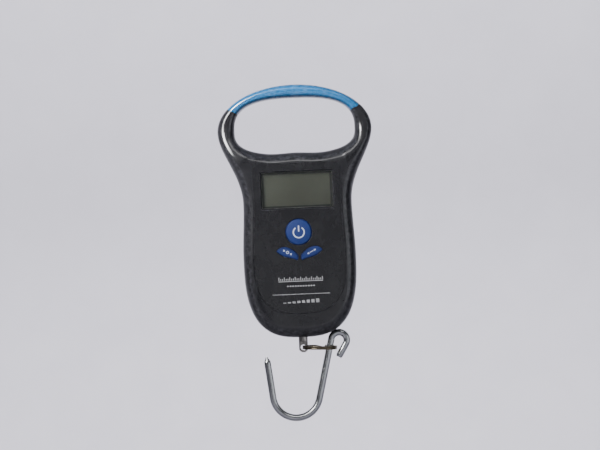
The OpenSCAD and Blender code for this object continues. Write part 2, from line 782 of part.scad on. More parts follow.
module hook_stud() {
    collar_r = 4;
    color("#53535a") frame() difference() {
        union() {
            // flat tongue with a rounded end round the ring's hole
            intersection() {
                translate([0, 0, stud_low]) cylinder(r = stud_r, h = stud_neck - stud_low + 1);
                union() {
                    rod(eye_h - stud_low, -tongue_half_d, tongue_half_d, 0, eye_h);
                    block([-stud_r, -tongue_half_d, eye_h],
                        [stud_r, tongue_half_d, stud_neck + 1]);
                }
            }
            translate([0, 0, stud_neck]) cylinder(r = stud_r, h = tab_top + 0.1 - stud_neck);
            translate([0, 0, 7.2]) cylinder(r = collar_r, h = 1.6);
            translate([0, 0, tab_top]) cylinder(r = 2, h = 5.4);
        }
        rod(eye_r, -stud_r - 1, stud_r + 1, 0, eye_h);
    }
}
module stud_washer() {
    color(steel) frame() translate([0, 0, tab_top + 0.1]) difference() {
        cylinder(r = 3.9, h = 0.9);
        translate([0, 0, -1]) cylinder(r = 2 + screw_gap, h = 3);
    }
}
module stud_nut() {
    color(steel) frame() translate([0, 0, tab_top + 1]) difference() {
        cylinder(r = 4, h = 3.2, $fn = 6);
        translate([0, 0, -1]) cylinder(r = 2 + screw_gap, h = 6);
    }
}

// A split ring: one flat wire wound twice, stepping over at one side
jog = 40;                // angle over which the wire steps to its second turn
jog_at = 90;             // where the step is, seen from the ring's middle
module split_ring() {
    step = 10;
    turn_gap = 0.01;
    rings = [for (a = [jog / 2:step:720 - jog / 2])
        let (rise = eased((a - 360 + jog / 2) / jog),
            mid = (rise - 0.5) * (ring_turn_h + turn_gap), t = a + jog_at)
        [for (c = [[-1, 1], [1, 1], [1, -1], [-1, -1]])
            let (r = ring_r + c.x * ring_wire_w / 2)
            [r * cos(t), r * sin(t), mid + c.y * ring_turn_h / 2]]];
    n = len(rings) * 4;
    color("#6f665c") frame() translate([0, 0, eye_h]) rotate([0, ring_tilt, 0])
        translate([ring_r, 0, 0])
            polyhedron(joined(rings), concat(band_faces(len(rings), 4, false),
                fan_cap(0, 4, true), fan_cap(n - 4, 4, false)));
}
module hook() {
    n = len(hook_path);
    rings = [for (i = [0:n - 1])
        path_ring(hook_path, i, hook_wire_r * (i < 3 ? 0.25 + 0.25 * i : 1)
            * (i == n - 1 ? 0.85 : 1))];
    color("#63666c") frame() polyhedron(joined(rings), concat(
        band_faces(n, sides, false), fan_cap(0, sides, true),
        fan_cap((n - 1) * sides, sides, false)));
}

front_housing();
rear_housing();
front_grip();
rear_grip();
face_plate();
display_window();
lcd_frame();
lcd_glass();
lcd_reflector();
zebra_strips();
circuit_board();
controller_blob();
board_components();
switch_bases();
board_screws();
load_cell();
strain_gauges();
anchor_plate();
plate_screws();
anchor_screws();
case_screws();
battery_left();
battery_right();
contact_plate();
contact_spring();
contact_bridge();
battery_cover();
cell_wire_red();
cell_wire_black();
cell_wire_green();
cell_wire_white();
battery_wire_red();
battery_wire_black();
power_button();
power_plunger();
unit_button();
unit_plunger();
tare_button();
tare_plunger();
hook_stud();
stud_washer();
stud_nut();
split_ring();
hook();
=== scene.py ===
import math

import bmesh
import bpy
import numpy as np
from mathutils import Matrix, Quaternion, Vector


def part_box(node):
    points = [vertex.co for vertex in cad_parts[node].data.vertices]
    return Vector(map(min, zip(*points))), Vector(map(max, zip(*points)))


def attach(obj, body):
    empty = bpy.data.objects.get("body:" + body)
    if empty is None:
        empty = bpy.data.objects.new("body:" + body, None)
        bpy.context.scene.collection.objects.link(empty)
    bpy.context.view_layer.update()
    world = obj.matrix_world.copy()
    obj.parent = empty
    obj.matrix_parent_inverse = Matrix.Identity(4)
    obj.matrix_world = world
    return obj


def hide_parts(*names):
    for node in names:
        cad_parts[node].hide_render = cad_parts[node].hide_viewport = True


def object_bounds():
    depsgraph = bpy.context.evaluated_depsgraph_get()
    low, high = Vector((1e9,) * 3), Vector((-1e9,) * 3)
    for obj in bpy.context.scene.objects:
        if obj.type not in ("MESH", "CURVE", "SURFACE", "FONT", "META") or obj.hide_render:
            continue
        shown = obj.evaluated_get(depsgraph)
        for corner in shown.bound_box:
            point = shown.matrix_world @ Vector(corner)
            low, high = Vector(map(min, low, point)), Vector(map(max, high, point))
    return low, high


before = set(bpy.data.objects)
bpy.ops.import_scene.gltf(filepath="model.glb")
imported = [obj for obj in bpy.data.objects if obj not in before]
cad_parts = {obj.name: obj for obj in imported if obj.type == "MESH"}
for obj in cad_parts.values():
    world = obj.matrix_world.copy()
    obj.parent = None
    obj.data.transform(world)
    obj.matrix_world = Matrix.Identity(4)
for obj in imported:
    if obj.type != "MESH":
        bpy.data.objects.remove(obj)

CAD_BOX = [list(corner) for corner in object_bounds()]
MM = 0.001


def mm_box(node):
    low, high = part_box(node)
    return np.array(low) / MM, np.array(high) / MM


# ---- Driving dimensions, read from the frame ----
case_low, case_high = mm_box("front_housing")
HANG_H = -case_low[2]  # height of the frame's origin above the body's foot
BODY_HALF_D = -case_low[1]
HANDLE_HALF_W = case_high[0]
BAR_HALF_D = -mm_box("front_grip")[0][1]
CROWN_H = mm_box("front_grip")[1][2] + HANG_H
PLATE_FRONT = -mm_box("face_plate")[0][1]
KEY_FRONT = -mm_box("power_button")[0][1]
HOOK_WIRE_R = mm_box("hook")[1][1]

# ---- Outline of the body and of the handle's opening ----
HANDLE_MID_H = 119.9
WAIST_HALF_W, WAIST_H = 31.4, 78
BELLY_HALF_W, BELLY_H = 32.6, 46
SIDE_BEND_OUT, SIDE_BEND_IN = 12.5, 17  # reach of the side curve's handles
OPENING_HALF_W, OPENING_MID_H = 34.7, 120
OPENING_RISE, OPENING_DROP = HANG_H - OPENING_MID_H, 14
BUMP, BUMP_HALF_W = 0.9, 17
FOOT_POWER, OPENING_POWER, EDGE_POWER = 2.85, 2.75, 2.4
GRIP_START, GRIP_START_IN = 31, 24
CORNER_IN, CORNER_T = 44, 0.44
SLOPE_START_H, SLOPE_END_H = 101, 124
EDGE_R, BAR_SHARE = 7, 0.42
GRIP_SKIN, CORE_SKIN, WALL, FACE_WALL, SEAM = 1.6, 2.8, 2, 2.2, 0.05
LIP, LIP_DEPTH, HAIR = 0.12, 0.35, 0.001  # broken edges beside the grip, in sections and in depth

# How finely the shell is cut: sections round the grip, arm and flank, then
# columns over a rounded edge and across the face
GRIP_N, ARM_N, FLANK_N = 24, 28, 44
EDGE_N, WEB_N = 9, 7


def power_cos(a, power):
    return np.clip(np.cos(a), 0, None) ** (2 / power)


def power_sin(a, power):
    return np.clip(np.sin(a), 0, None) ** (2 / power)


def angles(first, last, step=1.0):
    """Angles in radians from first to last degree, both included."""
    count = max(2, round(abs(last - first) / step) + 1)
    return np.radians(np.linspace(first, last, count))


def bezier(p, t):
    p, t = np.array(p, float), np.atleast_1d(t)[:, None]
    return ((1 - t) ** 3 * p[0] + 3 * t * (1 - t) ** 2 * p[1]
        + 3 * t * t * (1 - t) * p[2] + t ** 3 * p[3])


def crown(a):
    return np.c_[HANDLE_HALF_W * np.cos(a), HANDLE_MID_H + (CROWN_H - HANDLE_MID_H) * np.sin(a)]


def side(t):
    return bezier([(HANDLE_HALF_W, HANDLE_MID_H), (HANDLE_HALF_W, HANDLE_MID_H - SIDE_BEND_OUT),
        (WAIST_HALF_W, WAIST_H + SIDE_BEND_IN), (WAIST_HALF_W, WAIST_H)], t)


def flank(t, narrower=0.0):
    swell = (BELLY_HALF_W - WAIST_HALF_W) * (1 - np.cos(np.pi * t)) / 2
    return np.c_[WAIST_HALF_W - narrower + swell, WAIST_H + (BELLY_H - WAIST_H) * t]


def foot(a, narrower=0.0, foot_h=0.0):
    return np.c_[(BELLY_HALF_W - narrower) * power_cos(a, FOOT_POWER),
        BELLY_H - (BELLY_H - foot_h) * power_sin(a, FOOT_POWER)]


def opening_top(a):
    return np.c_[OPENING_HALF_W * power_cos(a, OPENING_POWER),
        OPENING_MID_H + OPENING_RISE * power_sin(a, OPENING_POWER)]


def opening_foot(a):
    x = OPENING_HALF_W * power_cos(a, OPENING_POWER)
    bump = np.where(x < BUMP_HALF_W, BUMP * np.cos(np.pi / 2 * x / BUMP_HALF_W) ** 2, 0)
    return np.c_[x, OPENING_MID_H - OPENING_DROP * power_sin(a, OPENING_POWER) + bump]


def even(points, n):
    """n + 1 points evenly spaced along a line of points."""
    run = np.r_[0, np.cumsum(np.hypot(*np.diff(points, axis=0).T))]
    at = np.linspace(0, run[-1], n + 1)
    return np.c_[np.interp(at, run, points[:, 0]), np.interp(at, run, points[:, 1])]


def both_halves(right):
    return np.vstack([right, (right * (-1, 1))[-2:0:-1]])


def closed_curve(*stretches):
    """A closed curve from its right half: the grip, the arm and the flank, each evenly cut."""
    cuts = [even(np.vstack(lines), n) for lines, n in zip(stretches, (GRIP_N, ARM_N, FLANK_N))]
    return both_halves(np.vstack([cuts[0], cuts[1][1:], cuts[2][1:]]))


def matched_curves():
    """The outline and the opening as closed curves with points that face each other."""
    outer = closed_curve(
        [crown(angles(90, GRIP_START, 0.5))],
        [crown(angles(GRIP_START, 0, 0.5)), side(np.linspace(0.01, CORNER_T, 44))],
        [side(np.linspace(CORNER_T, 1, 40)), flank(np.linspace(0.02, 1, 30)), foot(angles(0.5, 90, 0.5))])
    inner = closed_curve(
        [opening_top(angles(90, GRIP_START_IN, 0.5))],
        [opening_top(angles(GRIP_START_IN, 0, 0.5)), opening_foot(angles(0.5, CORNER_IN, 0.5))],
        [opening_foot(angles(CORNER_IN, 90, 0.5))])
    return outer, inner


def right_normals(curve):
    along = np.roll(curve, -1, 0) - np.roll(curve, 1, 0)
    across = np.c_[along[:, 1], -along[:, 0]]
    return across / np.hypot(*across.T)[:, None]


OUTER, INNER = matched_curves()
OUTER_IN, INNER_IN = right_normals(OUTER), -right_normals(INNER)
COUNT = len(OUTER)


def eased(t):
    t = np.clip(t, 0, 1)
    return t * t * (3 - 2 * t)


def half_depth(h):
    slope = eased((h - SLOPE_START_H) / (SLOPE_END_H - SLOPE_START_H))
    return BODY_HALF_D - (BODY_HALF_D - BAR_HALF_D) * slope


def at(values, s):
    """A closed curve's value between its points s and s + 1."""
    k, f = int(math.floor(s)), s - math.floor(s)
    return values[k % COUNT] * (1 - f) + values[(k + 1) % COUNT] * f


def rounded_edge(p, n, width, skin, deep):
    a = np.linspace(0, np.pi / 2, EDGE_N + 1)
    inset = skin + (width - skin) * (1 - power_cos(a, EDGE_POWER))
    q = p + n * inset[:, None]
    depth = (half_depth(q[:, 1]) - deep - SEAM) * power_sin(a, EDGE_POWER)
    return np.c_[q[:, 0], -SEAM - depth, q[:, 1]]


def skin_line(s, skin, deep):
    """The skin's front half at place s, from the outline across to the opening."""
    outer, inner = at(OUTER, s), at(INNER, s)
    width = min(EDGE_R, BAR_SHARE * np.hypot(*(outer - inner)))
    a = rounded_edge(outer, at(OUTER_IN, s), width, skin, deep)
    b = rounded_edge(inner, at(INNER_IN, s), width, skin, deep)[::-1]
    f = np.linspace(0, 1, WEB_N + 2)[1:-1, None]
    web = a[-1] * (1 - f) + b[0] * f
    web[:, 1] = -(half_depth(web[:, 2]) - deep)
    return np.vstack([a, web, b])


def shell_section(s, skin, skin_in, deep_in):
    return np.vstack([skin_line(s, skin, skin), skin_line(s, skin_in, deep_in)[::-1]])


# ---- Mesh building: each shape is (points in millimetres, faces) ----
def loft(loops, closed=False):
    """Joins loops of equally many points, with a cap on each end unless it is closed."""
    n, rings = len(loops[0]), len(loops)
    points = np.vstack(loops)
    faces = []
    for j in range(rings if closed else rings - 1):
        a, b = j * n, (j + 1) % rings * n
        faces += [(a + k, a + (k + 1) % n, b + (k + 1) % n, b + k) for k in range(n)]
    if not closed:
        faces += [tuple(range(n)), tuple(range((rings - 1) * n, rings * n))]
    return points, faces


def joined(*shapes):
    points, faces, base = [], [], 0
    for p, f in shapes:
        points.append(p)
        faces += [tuple(i + base for i in face) for face in f]
        base += len(p)
    return np.vstack(points), faces


def flip_y(shape):
    return shape[0] * (1, -1, 1), shape[1]


def flip_x(shape):
    return shape[0] * (-1, 1, 1), shape[1]


def both_sides(*shapes):
    return joined(*shapes, *[flip_x(shape) for shape in shapes])


def moved(shape, x=0.0, y=0.0, h=0.0):
    return shape[0] + np.array([x, y, h]), shape[1]


def wider(outline, d):
    """A closed outline moved outward by d along its own normals."""
    turn = np.sum(outline[:, 0] * np.roll(outline[:, 1], -1) - outline[:, 1] * np.roll(outline[:, 0], -1))
    return outline + d * np.sign(turn) * right_normals(outline)


def standing(outline, y):
    """The points of an outline in X and height, at depth y."""
    return np.c_[outline[:, 0], np.full(len(outline), y), outline[:, 1]]


def prism(outline, levels):
    """An outline in X and height along Y: levels are (depth, how much wider)."""
    return loft([standing(wider(outline, d), y) for y, d in levels])


def upright(outline, levels):
    """An outline in X and Y along the height: levels are (height, how much wider)."""
    return loft([np.c_[wider(outline, d), np.full(len(outline), h)] for h, d in levels])


def circle(r, x=0.0, h=0.0, n=48):
    a = np.linspace(0, 2 * np.pi, n, endpoint=False)
    return np.c_[x + r * np.cos(a), h + r * np.sin(a)]


def rectangle(w, h, r, x=0.0, mid=0.0, n=6):
    """A rectangle with round corners, anticlockwise."""
    corners = []
    for k, (sx, sy) in enumerate([(1, -1), (1, 1), (-1, 1), (-1, -1)]):
        a = np.radians(90 * (k - 1)) + np.linspace(0, np.pi / 2, n)
        corners.append(np.c_[x + sx * (w / 2 - r) + r * np.cos(a),
            mid + sy * (h / 2 - r) + r * np.sin(a)])
    return np.vstack(corners)


def block(low, high):
    x0, y0, h0 = low
    x1, y1, h1 = high
    outline = np.array([(x0, h0), (x1, h0), (x1, h1), (x0, h1)], float)
    return prism(outline, [(y0, 0), (y1, 0)])


def rod(r, y0, y1, x, h, n=40):
    return prism(circle(r, x, h, n), [(y0, 0), (y1, 0)])


AXIS_R = 0.01  # radius of a turned shape where its profile meets the axis


def turned(profile, n=64):
    """A solid of revolution about the height axis, from (radius, height) points."""
    return loft([np.c_[circle(max(r, AXIS_R), n=n), np.full(n, h)] for r, h in profile])


def turned_y(profile, n=64):
    """A solid of revolution about Y, from (radius, depth) points."""
    return loft([standing(circle(max(r, AXIS_R), n=n), y) for r, y in profile])


def placed(name, data):
    """A new object in the scene."""
    made = bpy.data.objects.new(name, data)
    bpy.context.scene.collection.objects.link(made)
    return made


def evaluated_mesh(made):
    """A copy of an object's mesh with its modifiers applied."""
    depsgraph = bpy.context.evaluated_depsgraph_get()
    return bpy.data.meshes.new_from_object(made.evaluated_get(depsgraph))


def to_mesh(shape, name, scale=1.0, lift=0.0):
    points, faces = shape
    mesh = bpy.data.meshes.new(name)
    mesh.from_pydata(((points + (0, 0, lift)) * scale).tolist(), [], [list(f) for f in faces])
    bm = bmesh.new()
    bm.from_mesh(mesh)
    bmesh.ops.recalc_face_normals(bm, faces=bm.faces)
    bm.to_mesh(mesh)
    bm.free()
    return mesh


def boolean(shape, others, operation):
    """shape joined with, or cut by, each of the others in turn."""
    body = placed("boolean_body", to_mesh(shape, "boolean_body"))
    tools = [placed("boolean_tool", to_mesh(other, "boolean_tool")) for other in others]
    for tool in tools:
        modifier = body.modifiers.new("boolean", "BOOLEAN")
        modifier.operation = operation
        modifier.solver = "MANIFOLD"
        modifier.object = tool
    mesh = evaluated_mesh(body)
    points = np.array([v.co for v in mesh.vertices], float)
    faces = [tuple(f.vertices) for f in mesh.polygons]
    for o in tools + [body]:
        old = o.data
        bpy.data.objects.remove(o)
        bpy.data.meshes.remove(old)
    bpy.data.meshes.remove(mesh)
    return points, faces


def union(shape, *others):
    return boolean(shape, others, "UNION")


def cut(shape, *others):
    return boolean(shape, others, "DIFFERENCE")


def weigh_normals(piece):
    """Keeps flat faces flat beside small rounded edges."""
    modifier = piece.modifiers.new("weighted", "WEIGHTED_NORMAL")
    modifier.keep_sharp = True
    weighted = evaluated_mesh(piece)
    old = piece.data
    piece.modifiers.clear()
    piece.data = weighted
    bpy.data.meshes.remove(old)
    weighted.name = piece.name


def new_piece(name, shape, material, body, replaces=(), smooth=32):
    """Puts a shape into the scene as a piece that rides on a body."""
    mesh = to_mesh(shape, name, MM, -HANG_H)
    mesh.shade_smooth()
    mesh.set_sharp_from_angle(angle=math.radians(smooth))
    mesh.materials.append(material)
    piece = placed(name, mesh)
    weigh_normals(piece)
    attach(piece, body)
    if replaces:
        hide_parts(*replaces)
    return piece


# ---- Materials: every one is worked out by nodes from the object's own metres ----
class Surface:
    """A material with a Principled shader and short ways to add nodes."""

    def __init__(self, name, roughness=0.5, metallic=0.0, **sockets):
        self.material = bpy.data.materials.new(name)
        self.material.use_nodes = True
        self.tree = self.material.node_tree
        self.shader = self.tree.nodes["Principled BSDF"]
        self.shader.inputs["Roughness"].default_value = roughness
        self.shader.inputs["Metallic"].default_value = metallic
        for socket, value in sockets.items():
            self.shader.inputs[socket.replace("_", " ")].default_value = value
        self.place = self.tree.nodes.new("ShaderNodeTexCoord").outputs["Object"]

    def feed(self, target, value):
        """Gives a socket a plain value, or links another node's output to it."""
        if isinstance(value, bpy.types.NodeSocket):
            self.tree.links.new(value, target)
        else:
            target.default_value = value

    def node(self, kind, **inputs):
        made = self.tree.nodes.new(kind)
        for socket, value in inputs.items():
            self.feed(made.inputs[socket.replace("_", " ")], value)
        return made

    def stretched(self, x, y, z):
        made = self.node("ShaderNodeMapping", Vector=self.place)
        made.inputs["Scale"].default_value = (x, y, z)
        return made.outputs["Vector"]

    def noise(self, size_mm, detail=3.0, rough=0.55, where=None, distort=0.0):
        made = self.node("ShaderNodeTexNoise", Vector=where or self.place,
            Scale=1 / (size_mm * MM), Detail=detail, Roughness=rough, Distortion=distort)
        return made.outputs["Fac"]

    def specks(self, size_mm):
        made = self.node("ShaderNodeTexVoronoi", Vector=self.place, Scale=1 / (size_mm * MM))
        return made.outputs["Distance"]

    def shoulder(self):
        """1 where the surface bends between facing the front or back and facing sideways."""
        normal = self.node("ShaderNodeTexCoord").outputs["Normal"]
        split = self.node("ShaderNodeSeparateXYZ", Vector=normal)
        facing = self.maths("ABSOLUTE", split.outputs["Y"])
        return self.ramp(facing, (0.2, 0), (0.6, 1), (0.82, 1), (0.98, 0))

    def ramp(self, value, *stops):
        """stops are (place, grey) or (place, (r, g, b))."""
        made = self.node("ShaderNodeValToRGB", Fac=value)
        elements = made.color_ramp.elements
        while len(elements) < len(stops):
            elements.new(0.5)
        for element, (where, colour) in zip(elements, stops):
            rgb = (colour,) * 3 if isinstance(colour, (int, float)) else colour
            element.position = where
            element.color = (*rgb, 1)
        return made.outputs["Color"]

    def mix(self, a, b, fac, how="MIX"):
        made = self.tree.nodes.new("ShaderNodeMix")
        made.data_type = "RGBA"
        made.blend_type = how
        for socket, value in (("Factor_Float", fac), ("A_Color", a), ("B_Color", b)):
            target = next(i for i in made.inputs if i.identifier == socket)
            self.feed(target, (*value, 1) if isinstance(value, tuple) else value)
        return next(o for o in made.outputs if o.identifier == "Result_Color")

    def maths(self, operation, a, b=0.5):
        made = self.tree.nodes.new("ShaderNodeMath")
        made.operation = operation
        for target, value in zip(made.inputs, (a, b)):
            self.feed(target, value)
        return made.outputs["Value"]

    def colour(self, value):
        self.tree.links.new(value, self.shader.inputs["Base Color"])
        return self

    def roughness(self, value):
        self.tree.links.new(value, self.shader.inputs["Roughness"])
        return self

    def bump(self, height, depth_mm, strength=1.0):
        made = self.node("ShaderNodeBump", Height=height, Strength=strength)
        made.inputs["Distance"].default_value = depth_mm * MM
        self.tree.links.new(made.outputs["Normal"], self.shader.inputs["Normal"])
        return self


DARK_COAT = {"Coat_Weight": 0.17, "Coat_IOR": 3.0, "Coat_Roughness": 0.14}
GLOSS_COAT = {"Coat_Weight": 0.25, "Coat_IOR": 3.0, "Coat_Roughness": 0.14}
DUST_COLOUR, FLECK_SIZE = (0.2, 0.2, 0.21), 0.055
LIT_MIDDLE_HALF_W = 40 * MM  # from the middle, where the scuffs and the painted lighter middle have faded
WAVE_UNIT = 0.314  # a wave texture of scale 1 repeats at this length


def tinted(colour, times, plus=0.0):
    return tuple(plus + times * c for c in colour)


def dusty_plastic(name, dark, pale, roughness, dust=0.5, grain=0.02, sheen_and_wear=3.2):
    """Matte moulded plastic: fine grain, smudges, dust specks, and shoulders paled by rubbing and by
    painted sheen.
    """
    s = Surface(name, roughness, Specular_IOR_Level=0.08, **DARK_COAT)
    smudge = s.noise(9, 5, 0.6, distort=0.6)
    colour = s.ramp(smudge, (0.35, dark), (0.8, pale))
    streak = s.noise(3, 4, 0.7, s.stretched(1, 1, 0.22))
    colour = s.mix(colour, tinted(pale, 2.1), s.ramp(streak, (0.56, 0), (0.78, dust)))
    # painted sheen as well as rubbing: shoulders, where the surface turns from the front to the side, are
    # paled
    sheen_and_rub_mask = s.maths("MULTIPLY", s.shoulder(), s.ramp(s.noise(2.4, 6, 0.7), (0.42, 0), (0.7, 1)))
    colour = s.mix(colour, tinted(pale, sheen_and_wear), sheen_and_rub_mask)
    fleck = s.maths("LESS_THAN", s.specks(1.7), FLECK_SIZE)
    s.colour(s.mix(colour, DUST_COLOUR, s.maths("MULTIPLY", fleck, 0.35 * dust)))
    s.roughness(s.ramp(smudge, (0.3, roughness - 0.07), (0.75, roughness + 0.1)))
    return s.bump(s.noise(0.35, 3), grain).material


def gloss_plastic(name, base, roughness, ripple=0.02, scuffs_and_lit_middle=0.0):
    """Glossy moulded plastic with a faint orange peel, and scuffs that also paint its middle lighter, as
    if lit.
    """
    s = Surface(name, roughness, Specular_IOR_Level=0.15, **GLOSS_COAT)
    cloud = s.noise(4.5, 5, 0.62)
    body = s.ramp(cloud, (0.32, tinted(base, 0.85)), (0.7, tinted(base, 1.15)))
    split = s.node("ShaderNodeSeparateXYZ", Vector=s.place)
    # painted light as well as scuffs: the middle of the piece is paler than its ends
    off_middle = s.maths("MULTIPLY", s.maths("ABSOLUTE", split.outputs["X"]), 1 / LIT_MIDDLE_HALF_W)
    scuff_and_lit_middle_mask = s.maths("MULTIPLY", s.ramp(off_middle, (0.3, scuffs_and_lit_middle), (0.7, 0.15 * scuffs_and_lit_middle)),
        s.ramp(s.noise(2.4, 7, 0.75, s.stretched(0.6, 1, 1)), (0.47, 0), (0.66, 1)))
    s.colour(s.mix(body, tinted(base, 1.2, 0.05), scuff_and_lit_middle_mask))
    s.roughness(s.ramp(s.noise(2.2, 5, 0.7), (0.35, roughness - 0.06), (0.75, roughness + 0.16)))
    return s.bump(s.noise(1.6, 3), ripple).material


def plain_plastic(name, base, roughness, grain=0.01, shine=0.5):
    s = Surface(name, roughness, Specular_IOR_Level=shine)
    s.colour(s.ramp(s.noise(3, 4), (0.3, tinted(base, 0.86)), (0.75, base)))
    return s.bump(s.noise(0.4, 3), grain).material


def metal(name, base, roughness, streaks=(1, 1, 0.1), stain=0.6, depth=0.006):
    """Plated or machined metal with fine scratches and dull patches."""
    s = Surface(name, roughness, 1.0)
    cloud = s.noise(5, 5, 0.65, distort=0.4)
    s.colour(s.ramp(cloud, (0.3, tinted(base, stain)), (0.68, base)))
    scratch = s.noise(0.5, 4, 0.7, s.stretched(*streaks))
    s.roughness(s.ramp(scratch, (0.3, max(roughness - 0.08, 0.04)), (0.75, roughness + 0.18)))
    return s.bump(scratch, depth).material


def liquid_crystal(name):
    """The blank display: olive grey with a soft pale patch."""
    s = Surface(name, 0.3)
    soft = s.noise(16, 2, 0.4)
    s.colour(s.ramp(soft, (0.3, (0.092, 0.094, 0.072)), (0.75, (0.118, 0.123, 0.098))))
    return s.bump(s.noise(0.3, 2), 0.003).material


def clear_window(name):
    """Smoked acrylic: mostly see-through, with a few fine scuffs."""
    s = Surface(name, 0.12, Alpha=0.3)
    s.colour(s.ramp(s.noise(2, 5, 0.7, s.stretched(1, 1, 0.3)),
        (0.5, (0.02, 0.023, 0.02)), (0.8, (0.06, 0.065, 0.06))))
    return s.bump(s.noise(1.2, 4), 0.004).material


def banded(name, base, band, pitch_mm, axis, roughness=0.5):
    """Alternating bands along one axis, as on a zebra strip or a foil gauge."""
    s = Surface(name, roughness)
    wave = s.node("ShaderNodeTexWave", Vector=s.place, Scale=WAVE_UNIT / (pitch_mm * MM))
    wave.bands_direction = axis
    s.colour(s.mix(s.ramp(wave.outputs["Fac"], (0.45, base), (0.55, band)), base,
        s.ramp(s.noise(1.5), (0.4, 0), (0.9, 0.3))))
    return s.bump(wave.outputs["Fac"], 0.01).material


def solder_mask(name):
    """A circuit board: mask over copper tracks, with bare pads."""
    s = Surface(name, 0.32)
    track = s.node("ShaderNodeTexBrick", Vector=s.place, Scale=1 / (9 * MM))
    track.inputs["Mortar Size"].default_value = 0.03
    lit = s.ramp(track.outputs["Fac"], (0.4, (0.012, 0.085, 0.03)), (0.6, (0.03, 0.17, 0.06)))
    pad = s.maths("LESS_THAN", s.specks(2.6), 0.16)
    s.colour(s.mix(lit, (0.55, 0.5, 0.38), s.maths("MULTIPLY", pad, 0.8)))
    return s.bump(track.outputs["Fac"], 0.02).material


BLACK = dusty_plastic("case_plastic", (0.0070, 0.0068, 0.0085), (0.015, 0.015, 0.017), 0.42)
# the plate's edge break is paled strongly by the shoulder mask: a painted highlight line as well as wear
PLATE = dusty_plastic("plate_plastic", (0.0064, 0.0062, 0.0076), (0.011, 0.011, 0.0125), 0.46,
    dust=0.3, sheen_and_wear=11)
# the grip's middle is painted lighter, as if lit, along with its scuffs
BLUE = gloss_plastic("grip_plastic", (0.010, 0.100, 0.245), 0.26, scuffs_and_lit_middle=0.75)
KEY = plain_plastic("key_rubber", (0.012, 0.026, 0.115), 0.5, 0.02, 0.15)
MASK = plain_plastic("mask_ink", (0.006, 0.006, 0.007), 0.5, 0.004)
INK = plain_plastic("print_ink", (0.33, 0.33, 0.34), 0.6, 0.004)
KEY_INK = plain_plastic("key_ink", (0.50, 0.54, 0.64), 0.6, 0.004)
HOOK_STEEL = metal("hook_plating", (0.50, 0.51, 0.52), 0.16, (1, 1, 0.12), 0.75, 0.002)
RING_METAL = metal("ring_plating", (0.20, 0.17, 0.125), 0.28, (1, 1, 1), 0.45)
STUD_METAL = metal("stud_plating", (0.46, 0.44, 0.42), 0.32, (1, 1, 0.2), 0.5)
ZINC = metal("zinc_plating", (0.56, 0.57, 0.60), 0.30, (1, 1, 1), 0.7)
ALUMINIUM = metal("milled_aluminium", (0.66, 0.67, 0.68), 0.34, (0.15, 1, 1), 0.8)
SLEEVE = metal("cell_sleeve", (0.30, 0.31, 0.33), 0.28, (1, 1, 0.1), 0.85)
LCD = liquid_crystal("liquid_crystal")
WINDOW = clear_window("window_acrylic")
WHITE = plain_plastic("white_moulding", (0.62, 0.62, 0.58), 0.45)
REFLECTOR = plain_plastic("reflector_film", (0.42, 0.44, 0.40), 0.25, 0.004)
ZEBRA = banded("zebra_rubber", (0.50, 0.20, 0.25), (0.10, 0.04, 0.05), 0.5, "X")
GAUGE = banded("gauge_foil", (0.52, 0.32, 0.10), (0.62, 0.55, 0.42), 0.35, "Z", 0.35)
BOARD = solder_mask("board_mask")
EPOXY = gloss_plastic("black_epoxy", (0.010, 0.010, 0.011), 0.22, 0.05)
COMPONENT = plain_plastic("component_bodies", (0.20, 0.16, 0.10), 0.45, 0.02)
SWITCH = plain_plastic("switch_moulding", (0.030, 0.030, 0.033), 0.42)
PLUNGER = plain_plastic("plunger_moulding", (0.45, 0.45, 0.43), 0.4)


# ---- Outline of the face plate and the keys ----
PLATE_MARGIN, PLATE_FOOT_H, PLATE_TOP_H, PLATE_CORNER_R = 6.4, 14.2, 100.6, 5
PLATE_BACK = BODY_HALF_D - 0.9
PROUD_LOW_H, PROUD_HIGH_H = 74, 98  # the plate's raised edge fades out between these
RECESS_W, RECESS_H, RECESS_R, DISPLAY_H = 41.6, 22, 1.2, 85.1
VIEW_W, VIEW_H = 37.8, 18
POWER_R, POWER_H, KEY_GAP = 7.4, 60.9, 0.35
WING_TOP = [(13, 50.2), (10.5, 53.6), (6, 53), (1.2, 48)]
WING_FOOT = [(1.5, 44.9), (5, 46.8), (9, 46), (13, 50.2)]
BOARD_SCREWS = [(x, h) for x in (-20, 20) for h in (54, 69.5)]
INSIDE = BODY_HALF_D - FACE_WALL + 0.3
SCREW_R, SCREW_GAP, HEAD_R, HEAD_H, SCREW_TIP = 1.3, 0.05, 2.5, 1.8, -6
SCREW_PLACES = [((20, 18), 8), ((26.2, 74), 8), ((39.6, 119.6), 4)]  # (place, seat)
BOARD_FRONT, BOARD_POST_R, BOARD_PILOT_R = 7.1, 2.6, 0.9
POST_END, SHELF_OUT, SHELF_END, SHELF_TOP = 0.3, 30.8, -0.2, 49
PASS_DEPTH = -11.1  # the window's and the keys' passages run in to here
STUD_R = 2.6


def plate_outline():
    half = WAIST_HALF_W - PLATE_MARGIN
    a = angles(80, 0, 10)
    corner_x = half + 0.6 - PLATE_CORNER_R + PLATE_CORNER_R * np.cos(a)
    corner = np.c_[corner_x, PLATE_TOP_H - PLATE_CORNER_R + PLATE_CORNER_R * np.sin(a)]
    top = [(0, PLATE_TOP_H), (half + 0.6 - PLATE_CORNER_R, PLATE_TOP_H)]
    return both_halves(np.vstack([
        top, corner, flank(np.linspace(0, 1, 13), PLATE_MARGIN),
        foot(angles(3, 90, 3), PLATE_MARGIN, PLATE_FOOT_H)]))


def wing_outline():
    """The right-hand wing key, anticlockwise from its outer tip."""
    top = bezier(WING_TOP, np.linspace(0, 1, 17))
    inner = bezier([WING_TOP[3], (0.6, 47), (0.7, 45.3), WING_FOOT[0]], [0.3, 0.7])
    lower = bezier(WING_FOOT, np.linspace(0, 1, 17)[:-1])
    return np.vstack([top, inner, lower])


